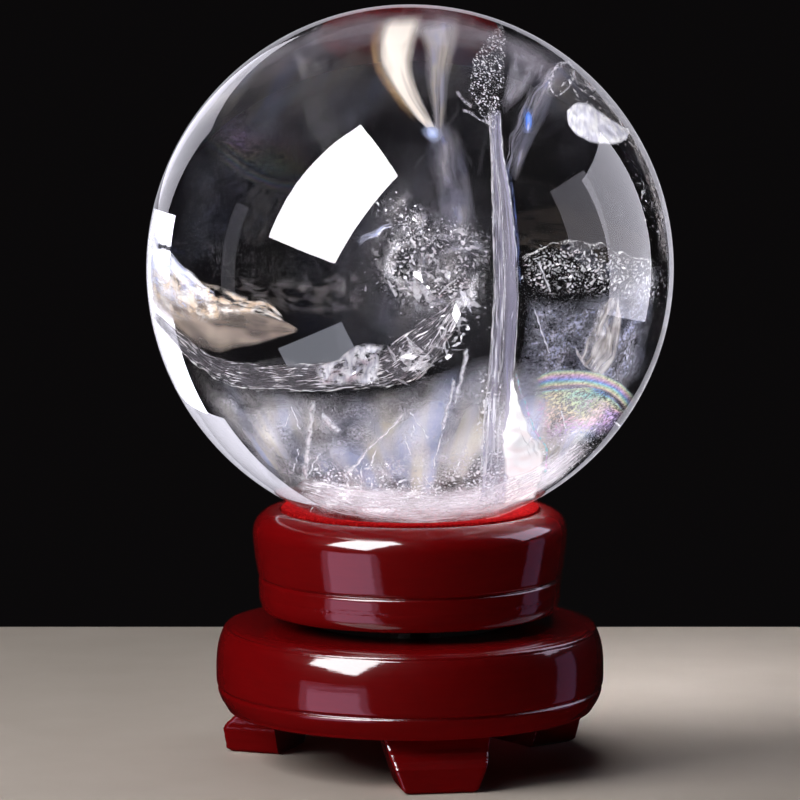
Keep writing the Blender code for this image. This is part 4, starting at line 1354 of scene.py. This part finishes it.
def metal_parts():
    """Finishes of the bearing, the fasteners and the cage, which keep their CAD meshes."""
    steel = metal_look("bearing_steel_ground", (0.62, 0.62, 0.63), 0.16, 0.26, 9000.0, 700.0)
    zinc = metal_look("zinc_plate", (0.60, 0.61, 0.60), 0.32, 0.48, 4000.0, 450.0)
    nylon = nylon_look("nylon_moulded")
    for name, obj in frame["nodes"].items():
        if name == "bearing_cage":
            obj.data.materials[0] = nylon
        elif name.startswith("bearing"):
            obj.data.materials[0] = steel
        elif "screw" in name or "washer" in name:
            obj.data.materials[0] = zinc


# Stage

def softbox(name, azimuth, elevation, distance, size, radiance, colour, unseen,
            aim=(0.0, 0.0, 0.0)):
    """A rectangular lamp seen from the ball at this azimuth and elevation, in degrees.

    Azimuth 0 is on the camera's side and grows to the right. distance and size are in mm.
    radiance is how bright its face looks. unseen lists the kinds of light path that the
    lamp takes no part in. aim turns, tips and rolls it away from facing the ball.
    """
    turn, tip, roll = aim
    data = bpy.data.lights.new(name, "AREA")
    data.shape = "RECTANGLE"
    data.size, data.size_y = (side * MM for side in size)
    data.energy = 4.0 * radiance * data.size * data.size_y
    data.color = colour
    lamp = bpy.data.objects.new(name, data)
    lamp.location = BALL_CENTRE + distance * MM * towards(azimuth, elevation)
    facing = -towards(azimuth + turn, elevation + tip)
    lamp.rotation_mode = "QUATERNION"
    aimed = facing.to_track_quat("-Z", "Y")
    lamp.rotation_quaternion = aimed @ Euler((0.0, 0.0, math.radians(roll))).to_quaternion()
    for kind in unseen:
        setattr(lamp, f"visible_{kind}", False)
    bpy.context.scene.collection.objects.link(lamp)
    return lamp


def towards(azimuth, elevation):
    """Direction from the ball, azimuth from -Y towards +X."""
    turn, lift = math.radians(azimuth), math.radians(elevation)
    return Vector((math.sin(turn) * math.cos(lift), -math.cos(turn) * math.cos(lift),
                   math.sin(lift)))


def lit_only(lamps, name, pieces):
    """Let these lamps light, and show in, these pieces alone."""
    receivers = bpy.data.collections.new(name)
    for piece in pieces:
        receivers.objects.link(piece)
    for lamp in lamps:
        lamp.light_linking.receiver_collection = receivers


def softboxes(rows):
    return [softbox(*row) for row in rows]


def stand_lamps():
    """The key light and its fill, and the cards that show in the stand's lacquer."""
    softbox("key_face", -35.2, 35.0, 700.0, (435.0, 650.0), 19.0, (0.99, 0.98, 1.0),
            ("diffuse",), (-28.0, -3.1, -10.0))
    softbox("key_fill", -65.0, 32.0, 480.0, (300.0, 340.0), 4.6, WHITE, LIGHTS_ONLY)
    cards = softboxes((
        ("low_card", -45.0, -26.0, 520.0, (290.0, 210.0), 1.3, ROSE, LACQUER_ONLY),
        ("low_glow", -45.0, -26.0, 525.0, (390.0, 300.0), 0.8, ROSE, LACQUER_ONLY),
        ("side_card", 112.0, 34.0, 700.0, (520.0, 520.0), 3.0, (0.9, 0.76, 1.0), LACQUER_ONLY),
        ("side_low", 104.0, -10.0, 700.0, (220.0, 420.0), 0.26, (0.9, 0.5, 1.0), LACQUER_ONLY),
    ))
    lit_only(cards, "lit_stand", [piece for piece in bpy.data.objects if piece.name.startswith(
        ("drum_turning", "base_turning", "stub_foot"))])


def ball_lamps(ball):
    """The panes and strips of light that are seen in the ball or through it."""
    panes = softboxes((
        ("right_strip", 110.0, 7.0, 800.0, (480.0, 620.0), 2.9, COOL, ("diffuse",)),
        ("right_upper", 118.0, 42.0, 800.0, (500.0, 430.0), 1.0, COOL, ("glossy", "diffuse")),
        ("far_pane", 166.4, 6.2, 800.0, (165.0, 70.0), 0.15, (0.84, 0.87, 1.0),
         ("camera", "glossy", "diffuse"), (0.0, 0.0, -25.0)),
        ("right_dim", 84.0, 18.0, 800.0, (330.0, 330.0), 1.0, COOL, MIRRORED_ONLY),
        ("left_dim", -83.0, 5.0, 800.0, (110.0, 470.0), 0.45, COOL, MIRRORED_ONLY),
        ("left_panel", -150.5, 12.5, 800.0, (414.0, 320.0), 1.4, COOL, MIRRORED_ONLY),
        ("back_top", 180.0, 50.0, 900.0, (800.0, 380.0), 0.14, COOL, MIRRORED_ONLY),
        ("behind", 180.0, -4.0, 900.0, (900.0, 700.0), 0.5, COOL, ("camera", *MIRRORED_ONLY)),
    ))
    lit_only(panes, "lit_ball", [ball])


def inclusion_lamps(inclusions):
    """Small hard lamps for what lies inside the ball, with one more for the bright fan."""
    hard = (90.0, 90.0)
    both = softboxes((
        ("inner_key", -40.0, 35.0, 600.0, hard, 150.0, WHITE, LIGHTS_ONLY),
        ("inner_back", 140.0, 35.0, 600.0, hard, 95.0, WHITE, LIGHTS_ONLY),
    ))
    lit_only(both, "lit_inclusions", inclusions)
    fan_lamp = softbox("fan_key", -15.0, 20.0, 600.0, hard, 170.0, WHITE, LIGHTS_ONLY)
    lit_only([fan_lamp], "lit_fan", [piece for piece in inclusions
                                     if piece.name in ("column_foot", "crown_chip")])


def tabletop(name, look, drop, unseen):
    """A table for the camera or for what shows through the ball, this far below the floor."""
    mesh = bpy.data.meshes.new(name)
    left, right, near, far = (side * MM for side in TABLE_EDGES)
    mesh.from_pydata([(left, near, 0.0), (right, near, 0.0), (right, far, 0.0),
                      (left, far, 0.0)], [], [(0, 1, 2, 3)])
    mesh.materials.append(look)
    top = bpy.data.objects.new(name, mesh)
    top.location.z = -drop
    for kind in unseen:
        setattr(top, f"visible_{kind}", False)
    bpy.context.scene.collection.objects.link(top)


def room():
    world = bpy.data.worlds.new("room")
    world.use_nodes = True
    background = world.node_tree.nodes["Background"]
    background.inputs["Color"].default_value = (0.0032, 0.0028, 0.0030, 1.0)
    scene = bpy.context.scene
    scene.world = world
    scene.view_settings.view_transform = "Standard"
    scene.cycles.transparent_max_bounces = 48
    scene.cycles.max_bounces = 16
    scene.cycles.transmission_bounces = 12


def camera():
    data = bpy.data.cameras.new("camera")
    data.lens = CAMERA_LENS
    data.sensor_width = CAMERA_SENSOR
    made = bpy.data.objects.new("camera", data)
    made.location = CAMERA_PLACE
    made.rotation_euler = (math.radians(90.0 - CAMERA_PITCH), 0.0, 0.0)
    bpy.context.scene.collection.objects.link(made)
    bpy.context.scene.camera = made


def ball_and_inclusions():
    """The ball, and the pieces that lie inside it."""
    inclusions = []
    for group in (hazes, column_veils, crown_veils, bowl_veils, right_veils, floor_veils,
                  core_nets, clouds, needles):
        inclusions += group()
    ball = crystal_ball(crystal_look())
    for piece in [ball, *inclusions]:
        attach(piece, "ball")
    return ball, inclusions


camera()
room()
tabletop("tabletop", table_look("pale_table", (0.66, 0.58, 0.50), (0.70, 0.62, 0.54)), 0.0,
         ("transmission", "glossy"))
# Painted shade: a darker, violet copy of the table, seen only through the ball, stands in for the
# table in shade beyond the stand.
tabletop("tabletop_through_ball", table_look("painted_shade_table", (0.040, 0.035, 0.050),
                                             (0.055, 0.048, 0.066)),
         0.02 * MM, ("camera", "diffuse", "glossy", "shadow"))
stand()
metal_parts()
quartz_ball, ball_inclusions = ball_and_inclusions()
stand_lamps()
ball_lamps(quartz_ball)
inclusion_lamps(ball_inclusions)
